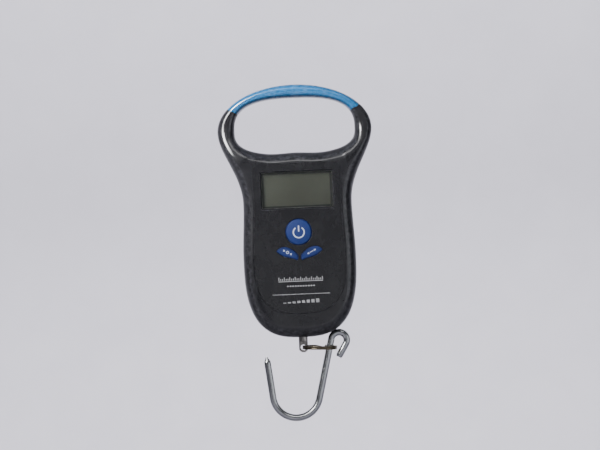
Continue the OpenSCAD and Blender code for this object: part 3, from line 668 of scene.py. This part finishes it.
PLATE_LINE, WING_LINE = plate_outline(), wing_outline()


def fading_prism(outline, levels):
    """A prism whose edge break fades out towards the top of the plate: levels are
    (depth, how much the depth grows, how much wider), the last two where it is full."""
    share = 0.06 + 0.94 * eased((PROUD_HIGH_H - outline[:, 1]) / (PROUD_HIGH_H - PROUD_LOW_H))
    away = wider(outline, 1.0) - outline
    loops = []
    for y, deeper, d in levels:
        q = outline + away * (d * share)[:, None]
        loops.append(np.c_[q[:, 0], y + deeper * share, q[:, 1]])
    return loft(loops)


# ---- The housings and the grips ----
def shell_half():
    """One half of the hollow case, sunk under the grip's skin along the bar."""
    under = [(s, GRIP_SKIN, CORE_SKIN, CORE_SKIN) for s in range(-GRIP_N, GRIP_N + 1)]
    first = [(GRIP_N + HAIR, LIP_DEPTH, WALL, FACE_WALL), (GRIP_N + LIP, 0, WALL, FACE_WALL)]
    bare = [(s, 0, WALL, FACE_WALL) for s in range(GRIP_N + 1, COUNT - GRIP_N)]
    last = [(COUNT - row[0], *row[1:]) for row in reversed(first)]
    return loft([shell_section(*row) for row in under + first + bare + last], closed=True)


def grip_half():
    """The grip's skin on one half of the bar, a little clear of the bar under it."""
    gap = 0.02
    inner = GRIP_SKIN - gap
    places = [(-GRIP_N, LIP_DEPTH), (-GRIP_N + LIP, 0)]
    places += [(s, 0) for s in range(1 - GRIP_N, GRIP_N)]
    places += [(GRIP_N - LIP, 0), (GRIP_N, LIP_DEPTH)]
    return loft([shell_section(s, skin, inner, inner) for s, skin in places])


def stud_way():
    """The bore in the body's foot that the stud turns in."""
    return upright(circle(STUD_R + 0.5), [(-2, 0), (7, 0)])


def supports(radii, shelf_corner):
    """A housing's case screw posts, and the shelves that the anchor plate bears on."""
    tops = (INSIDE, INSIDE, BAR_HALF_D - 1.5)
    posts = [rod(r, -top, -POST_END, *place) for (place, _), top, r in zip(SCREW_PLACES, tops, radii)]
    return both_sides(*posts, block(shelf_corner, (SHELF_OUT, SHELF_END, SHELF_TOP)))


def front_housing():
    shell = union(shell_half(),
        joined(*[rod(BOARD_POST_R, -INSIDE, -BOARD_FRONT, *p) for p in BOARD_SCREWS]),
        supports((2.6, 2.3, 2.6), (17, -5, 44)))
    mouth = BODY_HALF_D + 1
    pocket = fading_prism(PLATE_LINE, [(-mouth, 0, 0.26), (-BODY_HALF_D, 0, 0.26),
        (-BODY_HALF_D, 0.26, 0), (-PLATE_BACK, 0, 0)])
    through = [(-mouth, 0), (PASS_DEPTH, 0)]
    return cut(shell, pocket,
        joined(prism(rectangle(40.7, 20.5, 0.5, 0, DISPLAY_H), through),
               rod(POWER_R + KEY_GAP, -mouth, PASS_DEPTH, 0, POWER_H, 64),
               both_sides(prism(wider(WING_LINE, KEY_GAP), through))),
        joined(*[rod(BOARD_PILOT_R, -BOARD_FRONT - 3.4, -BOARD_FRONT + 1, *p) for p in BOARD_SCREWS]),
        both_sides(*[rod(SCREW_R + SCREW_GAP, SCREW_TIP - 0.5, 1, *p) for p, _ in SCREW_PLACES]),
        stud_way())


WELL_HALF_W, WELL_LOW, WELL_HIGH, WELL_FLOOR = 12, 53.2, 100.4, 1.1
COVER_HALF_W, COVER_LOW, COVER_HIGH, COVER_GAP = 14.5, 50.5, 100.5, 0.3
TAB_X, TAB_HALF_W = 11, 1.7
COVER_MID = (COVER_LOW + COVER_HIGH) / 2


def rear_housing():
    """Built facing the front, then flipped."""
    well_mouth = BODY_HALF_D - FACE_WALL
    shell = union(shell_half(), supports((3.5, 3.4, 3.4), (17, -8, 39)),
        block((-WELL_HALF_W - 1, -well_mouth - 0.2, WELL_LOW - 1),
              (WELL_HALF_W + 1, -WELL_FLOOR + 0.8, WELL_HIGH + 1)))
    cover_w, cover_h = 2 * (COVER_HALF_W + COVER_GAP), COVER_HIGH - COVER_LOW + 2 * COVER_GAP
    opening = rectangle(cover_w, cover_h, 1.2, 0, COVER_MID)
    mouth = -BODY_HALF_D
    holes, bores = [], []
    for place, seat in SCREW_PLACES:
        face = half_depth(np.array(place[1]))
        holes.append(prism(circle(HEAD_R + 0.3, *place),
            [(-BODY_HALF_D - 1, 0.3), (-face, 0.3), (-face + 0.3, 0), (-seat, 0)]))
        bores.append(rod(SCREW_R + 0.2, -seat - 1, 1, *place))
    tab = block((TAB_X - TAB_HALF_W - 0.4, -well_mouth - 1, COVER_LOW - 0.3),
        (TAB_X + TAB_HALF_W + 0.4, -10, COVER_LOW + 4))
    slot = block((4.45, -2, WELL_HIGH - 1.6), (7.05, 1, WELL_HIGH - 0.2))
    anchor = upright(circle(SCREW_R + SCREW_GAP, 21.3, -4, 24), [(41, 0), (51, 0)])
    return flip_y(cut(
        shell,
        prism(rectangle(2 * WELL_HALF_W, WELL_HIGH - WELL_LOW, 0.6, 0, (WELL_LOW + WELL_HIGH) / 2),
              [(mouth, 0), (-WELL_FLOOR, 0)]),
        prism(opening, [(mouth - 1, 0.3), (mouth, 0.3), (mouth + 0.3, 0), (-well_mouth + 0.05, 0)]),
        both_sides(tab, slot), both_sides(*holes), both_sides(*bores), both_sides(anchor), stud_way()))


new_piece("front_shell", front_housing(), BLACK, "case", ["front_housing"])
new_piece("rear_shell", rear_housing(), BLACK, "case", ["rear_housing"])
new_piece("front_grip_skin", grip_half(), BLUE, "case", ["front_grip"])
new_piece("rear_grip_skin", flip_y(grip_half()), BLUE, "case", ["rear_grip"])


# ---- The face plate, its print and the display window ----
def opening_cutter(outline, rim, steps=4):
    """Cuts a hole through the plate and rounds its rim."""
    front, levels = -PLATE_FRONT, [(-PLATE_FRONT - 1, rim)]
    for a in np.linspace(0, np.pi / 2, steps + 1):
        levels.append((front + rim * (1 - math.cos(a)), rim * (1 - math.sin(a))))
    return prism(outline, levels + [(-12, 0)])


def face_plate():
    stand = PLATE_FRONT - BODY_HALF_D
    plate = fading_prism(PLATE_LINE, [
        (-PLATE_BACK - 0.02, 0, -0.1), (-BODY_HALF_D, -stand + 0.28, -0.1),
        (-BODY_HALF_D, -stand + 0.1, -0.18), (-BODY_HALF_D, -stand, -0.38)])
    recess = rectangle(RECESS_W, RECESS_H, RECESS_R, 0, DISPLAY_H)
    return cut(plate, opening_cutter(recess, 0.4),
        joined(opening_cutter(circle(POWER_R + KEY_GAP, 0, POWER_H, 96), 0.3),
               both_sides(opening_cutter(wider(WING_LINE, KEY_GAP), 0.22))))


def window_mask():
    """The black border printed inside the window, with rounded sight corners."""
    low, high = mm_box("display_window")
    outer = rectangle(high[0] - low[0] - 0.1, high[2] - low[2] - 0.1, 0.5, 0, DISPLAY_H)
    inner = rectangle(VIEW_W, VIEW_H, 0.5, 0, DISPLAY_H)
    near, far = high[1] + 0.02, high[1] + 0.08
    return loft([standing(outer, near), standing(outer, far), standing(inner, far),
        standing(inner, near)], closed=True)


def window_lens():
    low, high = mm_box("display_window")
    edge = 0.15  # size of the broken edges
    outline = rectangle(high[0] - low[0], high[2] - low[2], 0.5, 0, (low[2] + high[2]) / 2 + HANG_H)
    return prism(outline, [(low[1], -edge), (low[1] + edge, 0), (high[1] - edge, 0), (high[1], -edge)])


INK_DEPTH, INK_SUNK = 0.06, 0.03  # a mark's thickness, half of it sunk in the surface


def printed(outline, y):
    return prism(outline, [(y, 0), (y + INK_DEPTH, 0)])


def bar(x0, h0, x1, h1, y, r=0.12):
    return printed(rectangle(x1 - x0, h1 - h0, r, (x0 + x1) / 2, (h0 + h1) / 2, 3), y)


def plate_print():
    """Generic marks: a ruled scale, a row of dashes, a rule and a stepped gauge."""
    y = -PLATE_FRONT - INK_SUNK
    marks = []
    for k in range(-12, 13):  # ruled scale, a longer tick every third line
        x, tall = 1.04 * k, 1.9 if k % 3 == 0 else 1.1
        marks.append(bar(x - 0.22, 33.2, x + 0.22, 33.2 + tall, y, 0.08))
    marks.append(bar(-12.8, 32.5, 12.8, 32.9, y))
    for x in np.arange(-5, 6) * 1.5:  # row of dashes
        marks.append(bar(x - 0.5, 29.6, x + 0.5, 30.3, y))
    marks.append(bar(-16.5, 25.1, 16.5, 25.45, y))
    for k in range(8):  # stepped gauge
        marks.append(bar(-10.6 + 2.7 * k, 20.2, -8.8 + 2.7 * k, 20.7 + 0.24 * k, y))
    return joined(*marks)


new_piece("face_plate_fine", face_plate(), PLATE, "case", ["face_plate"])
new_piece("plate_print", plate_print(), INK, "case")
new_piece("window_mask", window_mask(), MASK, "case")
new_piece("window_lens", window_lens(), WINDOW, "case", ["display_window"])


# ---- The keys ----
FLANGE_FRONT = -(BODY_HALF_D - FACE_WALL) + 0.3
FLANGE_BACK = FLANGE_FRONT + 0.9
DOME, POWER_EDGE_R, FLANGE = 0.5, 0.7, 0.9
DOME_R = POWER_R - POWER_EDGE_R


def dome_y(r):
    """Depth of the round key's slightly domed face, r from its middle."""
    return -KEY_FRONT + 0.06 + DOME * (r / DOME_R) ** 2


def power_key():
    profile = [(0, FLANGE_BACK), (POWER_R + FLANGE, FLANGE_BACK), (POWER_R + FLANGE, FLANGE_FRONT),
        (POWER_R, FLANGE_FRONT)]
    shoulder = dome_y(DOME_R)
    profile += [(POWER_R - POWER_EDGE_R * (1 - math.cos(a)),
        shoulder + POWER_EDGE_R * (1 - math.sin(a))) for a in angles(0, 80, 16)]
    profile += [(r, dome_y(r)) for r in np.linspace(DOME_R, 0.3, 10)] + [(0, dome_y(0))]
    return moved(turned_y(profile, 96), h=POWER_H)


def on_dome(line, half_w):
    """A raised stroke of the symbol: line is points in X and height from the key's middle."""
    line = np.array(line, float)
    along = np.gradient(line, axis=0)
    across = np.c_[along[:, 1], -along[:, 0]] / np.hypot(*along.T)[:, None] * half_w
    loops = []
    for p, n in zip(line, across):
        ring = [(p + n, -0.04), (p - n, -0.04), (p - n, 0.1), (p + n, 0.1)]
        loops.append([(q[0], dome_y(np.hypot(*q)) + rise, q[1] + POWER_H) for q, rise in ring])
    return loft([np.array(loop) for loop in loops])


def power_symbol():
    a, r, half_w = angles(125, 415, 10), 3.1, 0.36
    arc = on_dome(np.c_[r * np.cos(a), r * np.sin(a) - 0.2], half_w)
    return joined(arc, on_dome([(0, 0.2), (0, 1.3), (0, 2.4), (0, 3.6)], half_w))


WING_TOP_Y = -KEY_FRONT + 0.04
WING_MARK_Y, WING_MIDDLE, WING_SLOPE = WING_TOP_Y - INK_SUNK, (6.9, 49.4), 28


def wing_key():
    body = prism(WING_LINE, [(FLANGE_BACK, 0), (WING_TOP_Y + 0.5, 0), (WING_TOP_Y + 0.22, -0.06),
        (WING_TOP_Y + 0.06, -0.22), (WING_TOP_Y, -0.45)])
    flange = prism(WING_LINE, [(FLANGE_BACK, 0.85), (FLANGE_FRONT, 0.85)])
    return union(body, flange)


def wing_mark(shapes):
    """Small raised marks on a wing, laid along its slope."""
    slope = math.radians(WING_SLOPE)
    turn = np.array([[math.cos(slope), math.sin(slope)], [-math.sin(slope), math.cos(slope)]])
    return joined(*[printed(np.array(s) @ turn + WING_MIDDLE, WING_MARK_Y) for s in shapes])


def arrow(x, way):
    half_l, half_w = 0.6 * way, 0.62
    return [(x - half_l, -half_w), (x + half_l, 0), (x - half_l, half_w)][::way]


def dash(half_l, half_w=0.17):
    return [(-half_l, -half_w), (half_l, -half_w), (half_l, half_w), (-half_l, half_w)]


def zero_ring():
    """The middle mark of the zeroing key: a small ring."""
    return loft([standing(circle(r, *WING_MIDDLE, 28), WING_MARK_Y + y) for r, y in (
        (0.85, 0), (0.85, INK_DEPTH), (0.5, INK_DEPTH), (0.5, 0))], closed=True)


new_piece("power_key_cap", power_key(), KEY, "power_key", ["power_button"])
new_piece("power_key_symbol", power_symbol(), KEY_INK, "power_key")
new_piece("unit_key_cap", wing_key(), KEY, "unit_key", ["unit_button"])
new_piece("tare_key_cap", flip_x(wing_key()), KEY, "tare_key", ["tare_button"])
new_piece("unit_key_marks", wing_mark([arrow(-2.3, -1), dash(1.2), arrow(2.3, 1)]), KEY_INK, "unit_key")
new_piece("tare_key_marks", flip_x(joined(wing_mark([arrow(-2, 1), arrow(2, -1)]), zero_ring())),
    KEY_INK, "tare_key")


# ---- Battery cover, cells, springs and screws ----
COVER_INNER = 12


def battery_cover():
    w, h = 2 * COVER_HALF_W, COVER_HIGH - COVER_LOW
    plate = prism(rectangle(w, h, 1.0, 0, COVER_MID), [
        (COVER_INNER, 0), (BODY_HALF_D - 0.4, 0), (BODY_HALF_D - 0.12, -0.1), (BODY_HALF_D, -0.4)])
    tab_in, tab_out = TAB_X - TAB_HALF_W, TAB_X + TAB_HALF_W
    hinge = block((tab_in, 10.6, COVER_LOW - 2.5), (tab_out, 11.5, COVER_LOW + 1.2))
    neck = block((tab_in, 10.7, COVER_LOW + 0.1), (tab_out, COVER_INNER + 0.3, COVER_LOW + 1.2))
    tongue = block((-3, 10.6, COVER_HIGH - 1.2), (3, COVER_INNER + 0.3, COVER_HIGH - 0.1))
    cover = union(plate, both_sides(hinge), both_sides(neck), tongue)
    # thumb grooves, each a shallow round-ended slot, and an arrow that shows the way
    grooves = [prism(rectangle(16 - 1.6 * k, 0.9, 0.44, 0, COVER_HIGH - 5 - 1.8 * k),
        [(BODY_HALF_D - 0.45, -0.2), (BODY_HALF_D + 0.2, 0.12)]) for k in range(5)]
    way = np.array([(0, COVER_HIGH - 20), (2.6, COVER_HIGH - 16), (-2.6, COVER_HIGH - 16)])
    return cut(cover, joined(*grooves),
        prism(way, [(BODY_HALF_D - 0.4, -0.3), (BODY_HALF_D + 0.2, 0.15)]))


def cell(node, nub_up):
    """A sleeved cell: crimped shoulders, a raised positive nub and a flat negative end."""
    low, high = mm_box(node)
    r, mid_x, mid_y = (high[0] - low[0]) / 2, (high[0] + low[0]) / 2, (high[1] + low[1]) / 2
    foot_h, top_h = low[2] + HANG_H, high[2] + HANG_H
    nub = 0.8
    flat, crimp = (foot_h, top_h - nub) if nub_up else (top_h, foot_h + nub)
    up = 1 if nub_up else -1
    from_flat = [(0, 0), (3.6, 0), (3.9, 0.25), (r - 0.7, 0.25), (r - 0.15, 0.35), (r, 0.7)]
    from_crimp = [(r, -0.9), (r - 0.15, -0.5), (r - 0.7, -0.3), (3, -0.3), (2.7, 0), (1.8, 0),
        (1.7, nub - 0.15), (1.5, nub), (0, nub)]
    profile = [(x, flat + up * rise) for x, rise in from_flat]
    profile += [(x, crimp + up * rise) for x, rise in from_crimp]
    return moved(turned(profile, 72), mid_x, mid_y)


def tube(line, r, sides=12):
    """A round wire along a line of points, its rings carried along without twist."""
    line = np.array(line, float)
    along = np.gradient(line, axis=0)
    along /= np.linalg.norm(along, axis=1)[:, None]
    side_way = np.cross(along[0], (0, 0, 1) if abs(along[0][2]) < 0.9 else (1, 0, 0))
    radii = np.broadcast_to(r, len(line))
    loops = []
    for p, d, radius in zip(line, along, radii):
        side_way = side_way - d * np.dot(side_way, d)
        side_way /= np.linalg.norm(side_way)
        other = np.cross(d, side_way)
        a = np.linspace(0, 2 * np.pi, sides, endpoint=False)[:, None]
        loops.append(p + radius * (np.cos(a) * side_way + np.sin(a) * other))
    return loft(loops)


SPRING_WIDE, SPRING_NARROW, SPRING_TURNS, SPRING_WIRE_R = 3.4, 2.2, 1.5, 0.3
LEAF_W, LEAF_T = 8, 0.4


def spring(x, y, from_h, to_h):
    """A conical coil that narrows from one height to the other."""
    t = np.linspace(0, 1, int(SPRING_TURNS * 24) + 1)
    a, radius = 2 * np.pi * SPRING_TURNS * t, SPRING_WIDE + (SPRING_NARROW - SPRING_WIDE) * t
    return tube(np.c_[x + radius * np.cos(a), y + radius * np.sin(a), from_h + (to_h - from_h) * t],
        SPRING_WIRE_R, 10)


def contact_with_tail(x, y, high):
    """A flat contact under the well's top, with the tail that runs through its floor."""
    leaf = moved(upright(rectangle(LEAF_W, LEAF_W, 0.8), [(0, 0), (LEAF_T, 0)]), x, y, high - LEAF_T)
    return joined(leaf, block((x - 1, -0.7, high - 0.8), (x + 1, y - 3.9, high - LEAF_T)))


THREAD_PITCH, THREAD_DEPTH = 0.8, 0.22


def cross_head_screw(place, seat):
    """A pan head with a cross recess, seen from the back, and its threaded shank."""
    x, h = place
    top = seat + HEAD_H
    head = [(0, top)] + [(HEAD_R * math.sin(a), seat + 0.9 + (HEAD_H - 0.9) * math.cos(a))
        for a in angles(12, 90, 13)] + [(HEAD_R, seat), (SCREW_R, seat)]
    for k in range(int((seat - SCREW_TIP - 1) / THREAD_PITCH)):
        y = seat - 0.5 - THREAD_PITCH * k
        head += [(SCREW_R - THREAD_DEPTH, y), (SCREW_R, y - THREAD_PITCH / 2)]
    head += [(0.5, SCREW_TIP), (0, SCREW_TIP)]
    screw = moved(turned_y(head, 40), x, 0, h)
    cross = []
    for w, tall in ((2.7, 0.6), (0.6, 2.7)):
        cross.append(prism(rectangle(w, tall, 0.15, x, h, 3), [(top - 1.1, -0.12), (top + 0.5, 0.04)]))
    return cut(screw, *cross)


new_piece("battery_door", battery_cover(), BLACK, "cover", ["battery_cover"])
new_piece("cell_left", cell("battery_left", True), SLEEVE, "case", ["battery_left"])
new_piece("cell_right", cell("battery_right", False), SLEEVE, "case", ["battery_right"])
left_low, left_high = mm_box("battery_left")
CELL_X = -(left_low[0] + left_high[0]) / 2
CELL_Y = (left_low[1] + left_high[1]) / 2
CELL_FOOT, CELL_TOP = left_low[2] + HANG_H, left_high[2] + HANG_H
new_piece("contact_plate_leaf", contact_with_tail(-CELL_X, CELL_Y, WELL_HIGH), ZINC, "case",
    ["contact_plate"])
new_piece("contact_spring_coil", joined(
    contact_with_tail(CELL_X, CELL_Y, WELL_HIGH),
    spring(CELL_X, CELL_Y, WELL_HIGH - 0.75, CELL_TOP + 0.36)),
    ZINC, "case", ["contact_spring"])
new_piece("contact_bridge_coil", joined(
    block((-CELL_X - 4, CELL_Y - 4, WELL_LOW), (CELL_X + 4, CELL_Y + 4, WELL_LOW + LEAF_T)),
    spring(-CELL_X, CELL_Y, WELL_LOW + 0.7, CELL_FOOT - 0.3),
    moved(turned([(2, WELL_LOW + LEAF_T), (2, CELL_FOOT - 0.3), (1.6, CELL_FOOT)]), CELL_X, CELL_Y)),
    ZINC, "case", ["contact_bridge"])
screws = [cross_head_screw(place, seat) for place, seat in SCREW_PLACES]
new_piece("cross_head_screws", joined(*[both_sides(s) for s in screws]), ZINC, "case",
    ["case_screws"])


# ---- Stud, split ring and hook ----
EYE_H, EYE_R = -5.9, 1.65
STUD_LOW, STUD_NECK, TONGUE_HALF_D = -8.8, -2.4, 1.8
STUD_TOP = mm_box("hook_stud")[1][2] + HANG_H
COLLAR_R, COLLAR_LOW, COLLAR_HIGH, THREAD_R, THREAD_LOW = 4, 7.2, 8.8, 2, 15.1
RING_R, RING_TURN_H, RING_WIRE_W = 9.4, 1.06, 1.3
FAR_WIRE = (2 * RING_R, -6.7)
JOG, JOG_AT = 40, 90  # degrees that the step takes, and where it is


def hook_stud():
    """A flattened tongue with a round end, below a turned shank with its collar."""
    end = EYE_H + (EYE_H - STUD_LOW) * np.sin(angles(180, 360, 10))
    outline = np.vstack([
        np.c_[(EYE_H - STUD_LOW) * np.cos(angles(180, 360, 10)), end],
        [(STUD_R, STUD_NECK + 0.8), (-STUD_R, STUD_NECK + 0.8)]])
    outline[:, 0] = np.clip(outline[:, 0], -STUD_R, STUD_R)
    soft = 0.35
    tongue = prism(outline, [
        (-TONGUE_HALF_D, -soft), (-TONGUE_HALF_D + 0.1, -0.12), (-TONGUE_HALF_D + soft, 0),
        (TONGUE_HALF_D - soft, 0), (TONGUE_HALF_D - 0.1, -0.12), (TONGUE_HALF_D, -soft)])
    core = upright(circle(STUD_R, n=64), [(STUD_LOW - 1, 0), (STUD_NECK + 2, 0)])
    tongue = boolean(tongue, [core], "INTERSECT")
    shank = turned([
        (STUD_R - 0.4, STUD_NECK), (STUD_R, STUD_NECK + 0.3), (STUD_R, COLLAR_LOW),
        (COLLAR_R - 0.2, COLLAR_LOW), (COLLAR_R, COLLAR_LOW + 0.2), (COLLAR_R, COLLAR_HIGH - 0.2),
        (COLLAR_R - 0.2, COLLAR_HIGH), (STUD_R, COLLAR_HIGH), (STUD_R, THREAD_LOW),
        (THREAD_R, THREAD_LOW), (THREAD_R, STUD_TOP - 0.4), (THREAD_R - 0.4, STUD_TOP)])
    hole = prism(circle(EYE_R, 0, EYE_H, 48), [
        (-3, 0.3), (-TONGUE_HALF_D, 0.3), (-TONGUE_HALF_D + 0.3, 0),
        (TONGUE_HALF_D - 0.3, 0), (TONGUE_HALF_D, 0.3), (3, 0.3)])
    return cut(union(tongue, shank), hole)


def split_ring():
    """One flat wire with soft corners wound twice, stepping over at one side."""
    tilt = math.atan2(EYE_H - FAR_WIRE[1], FAR_WIRE[0])
    corner = np.linspace(0, 2 * np.pi, 20, endpoint=False)
    across, up = (np.sign(wave) * np.abs(wave) ** 0.5 * size / 2 for wave, size in (
        (np.cos(corner), RING_WIRE_W), (np.sin(corner), RING_TURN_H)))
    loops = []
    for a in np.arange(JOG / 2, 720 - JOG / 2 + 0.1, 4):
        rise = eased((a - 360 + JOG / 2) / JOG)
        mid, t = (rise - 0.5) * (RING_TURN_H + 0.01), math.radians(a + JOG_AT)
        r = RING_R + across
        x, y, z = r * math.cos(t) + RING_R, r * math.sin(t), mid + up
        loops.append(np.c_[x * math.cos(tilt) + z * math.sin(tilt), y,
            EYE_H - x * math.sin(tilt) + z * math.cos(tilt)])
    return loft(loops)


HOOK_TIP, HOOK_HEADING = (-21.6, -10.65), -83.3
HOOK_PIECES = [(0, 24), (13.6, 159.7), (0, 35.6), (4.5, -197.7), (0, 8.6)]  # (radius, length or turn)
POINT_LENGTH, POINT_SHARE, END_LENGTH = 3.6, 0.22, 1.0


def hook_line():
    """The hook's wire from its tip: straights and bends, finely cut."""
    p, heading = np.array(HOOK_TIP, float), math.radians(HOOK_HEADING)
    line = [p]
    for radius, amount in HOOK_PIECES:
        ahead = np.array([math.cos(heading), math.sin(heading)])
        if radius == 0:
            line += [p + ahead * amount * f for f in np.linspace(0, 1, int(amount) + 1)[1:]]
        else:
            turn, way = math.radians(amount), math.copysign(1, amount)
            centre = p + way * radius * np.array([-ahead[1], ahead[0]])
            for f in np.linspace(0, 1, int(abs(amount) / 4) + 1)[1:]:
                a = heading + turn * f
                line.append(centre - way * radius * np.array([-math.sin(a), math.cos(a)]))
            heading += turn
        p = line[-1]
    return np.array(line)


def hook():
    line = hook_line()
    run = np.r_[0, np.cumsum(np.hypot(*np.diff(line, axis=0).T))]
    point = np.clip(run / POINT_LENGTH, 0, 1)  # the ground point at the tip
    end = np.clip((run[-1] - run) / END_LENGTH, 0, 1)  # the rounded cut end
    grown = POINT_SHARE + (1 - POINT_SHARE) * np.sin(point * np.pi / 2) ** 1.4
    radii = HOOK_WIRE_R * np.minimum(grown, 0.8 + 0.2 * np.sqrt(end))
    return tube(np.c_[line[:, 0], np.zeros(len(line)), line[:, 1]], radii, 40)


new_piece("stud_turned", hook_stud(), STUD_METAL, "stud", ["hook_stud"])
new_piece("split_ring_wound", split_ring(), RING_METAL, "ring", ["split_ring"], smooth=50)
new_piece("hook_wire", hook(), HOOK_STEEL, "hook", ["hook"], smooth=50)

# ---- Finishes of the CAD pieces that stay as they are ----
FINISHES = {
    "lcd_frame": WHITE, "lcd_glass": LCD, "lcd_reflector": REFLECTOR, "zebra_strips": ZEBRA,
    "circuit_board": BOARD, "controller_blob": EPOXY, "board_components": COMPONENT,
    "switch_bases": SWITCH, "load_cell": ALUMINIUM, "strain_gauges": GAUGE, }
FINISHES |= {key + "_plunger": PLUNGER for key in ("power", "unit", "tare")}
FINISHES |= {name: ZINC for name in ("board_screws", "plate_screws", "anchor_screws",
    "anchor_plate", "stud_washer", "stud_nut")}
WIRE_COLOURS = {"red": (0.38, 0.020, 0.015), "black": (0.012, 0.012, 0.013),
    "green": (0.020, 0.180, 0.045), "white": (0.62, 0.62, 0.60)}
for colour, base in WIRE_COLOURS.items():
    insulation = gloss_plastic(colour + "_insulation", base, 0.36, 0.01)
    for owner in ("cell", "battery"):
        if f"{owner}_wire_{colour}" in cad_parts:
            FINISHES[f"{owner}_wire_{colour}"] = insulation
for name, finish in FINISHES.items():
    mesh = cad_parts[name].data
    mesh.materials.clear()
    mesh.materials.append(finish)

# ---- Floor, backdrop, light and camera ----
low, high = (Vector(corner) for corner in CAD_BOX)
centre = (low + high) / 2
FLOOR_DROP, BACK_Y, SWEEP_R, STAGE_HALF = 0.32, 1.95, 0.5, 6.0
PAPER_DARK, PAPER_PALE = (0.60, 0.585, 0.66), (0.63, 0.615, 0.69)
WORLD_SEEN, WORLD_LIGHT, WORLD_STRENGTH = (0.46, 0.455, 0.50, 1), (0.80, 0.83, 0.90, 1), 0.16
BODY_MIDDLE = (0, 0, -0.03)


def backdrop():
    """A pale floor that curves up into a wall well behind the object."""
    floor_z = low.z - FLOOR_DROP
    bends = [(BACK_Y - SWEEP_R * (1 - math.sin(a)), floor_z + SWEEP_R * (1 - math.cos(a)))
        for a in np.linspace(0, math.pi / 2, 25)]
    profile = [(-STAGE_HALF, floor_z)] + bends + [(BACK_Y, floor_z + STAGE_HALF)]
    points = [(x, y, z) for y, z in profile for x in (-STAGE_HALF, STAGE_HALF)]
    faces = [(2 * k, 2 * k + 1, 2 * k + 3, 2 * k + 2) for k in range(len(profile) - 1)]
    mesh = bpy.data.meshes.new("backdrop")
    mesh.from_pydata(points, [], faces)
    mesh.shade_smooth()
    s = Surface("backdrop_paper", 0.85)
    s.colour(s.ramp(s.noise(60, 3), (0.3, PAPER_DARK), (0.7, PAPER_PALE)))
    mesh.materials.append(s.bump(s.noise(0.8, 2), 0.01).material)
    placed("backdrop", mesh)


def area_light(name, place, target, size, watts, colour=(1, 1, 1), spread=180, roll=0):
    """A soft box: place and target are in metres from the middle of the object."""
    light = bpy.data.lights.new(name, "AREA")
    light.shape = "RECTANGLE"
    light.size, light.size_y = size
    light.energy = watts
    light.color = colour
    light.spread = math.radians(spread)
    lamp = placed(name, light)
    lamp.location = centre + Vector(place)
    aim = (Vector(target) - Vector(place)).to_track_quat("-Z", "Y")
    lamp.rotation_euler = (aim @ Quaternion((0, 0, 1), math.radians(roll))).to_euler()


def studio_world():
    """A pale surround: seen as the backdrop's grey, but dimmer as a light."""
    world = bpy.data.worlds.new("studio")
    world.use_nodes = True
    tree = world.node_tree
    seen = tree.nodes["Background"]
    seen.inputs["Color"].default_value = WORLD_SEEN
    lit = tree.nodes.new("ShaderNodeBackground")
    lit.inputs["Color"].default_value = WORLD_LIGHT
    lit.inputs["Strength"].default_value = WORLD_STRENGTH
    rays, both = tree.nodes.new("ShaderNodeLightPath"), tree.nodes.new("ShaderNodeMixShader")
    sources = (rays.outputs["Is Camera Ray"], lit.outputs[0], seen.outputs[0])
    for source, target in zip(sources, both.inputs):
        tree.links.new(source, target)
    tree.links.new(both.outputs[0], tree.nodes["World Output"].inputs["Surface"])
    bpy.context.scene.world = world


backdrop()
studio_world()
# Two narrow lamps near the handle put the pale streak on its left arm and the grip
area_light("handle_strip", (-0.20, -0.235, 0.195), (-0.035, -0.01, 0.09), size=(0.18, 0.30),
    watts=0.32, spread=34, roll=-45)
area_light("grip_glint", (-0.149, -0.241, 0.255), (-0.031, -0.01, 0.105), size=(0.12, 0.12),
    watts=0.09, spread=34)
area_light("left_key", (-1.0, -1.3, 0.9), BODY_MIDDLE, size=(1.2, 1.2), watts=8.5)
area_light("right_fill", (1.2, -0.8, -0.1), BODY_MIDDLE, size=(1.3, 1.2), watts=5, colour=(0.92, 0.95, 1))
area_light("low_fill", (0.35, -1.25, -0.35), (0, 0, -0.06), size=(1.0, 0.7), watts=1,
    colour=(0.95, 0.96, 1))
area_light("backdrop_wash", (0, 1.15, 1.25), (0, 1.95, 0), size=(2.4, 0.5), watts=25, spread=95)
area_light("floor_wash", (0, -1.4, 1.5), (0, -1.2, -0.5), size=(2.0, 0.6), watts=10, spread=110)

# The photograph looks straight at the front, with the scale leaning 2.4 degrees
CAMERA_AWAY, FIELD_W, LEAN = 1.5, 0.3470, 2.4
CAMERA_X, CAMERA_Z = 0.0009, -0.0735
SENSOR_W = 36
camera = placed("camera", bpy.data.cameras.new("camera"))
camera.data.sensor_width = SENSOR_W
camera.data.lens = SENSOR_W * CAMERA_AWAY / FIELD_W
camera.matrix_world = (Matrix.Translation((CAMERA_X, -CAMERA_AWAY, CAMERA_Z))
    @ Matrix.Rotation(math.radians(90), 4, "X") @ Matrix.Rotation(math.radians(-LEAN), 4, "Z"))
bpy.context.scene.camera = camera

bpy.context.view_layer.update()
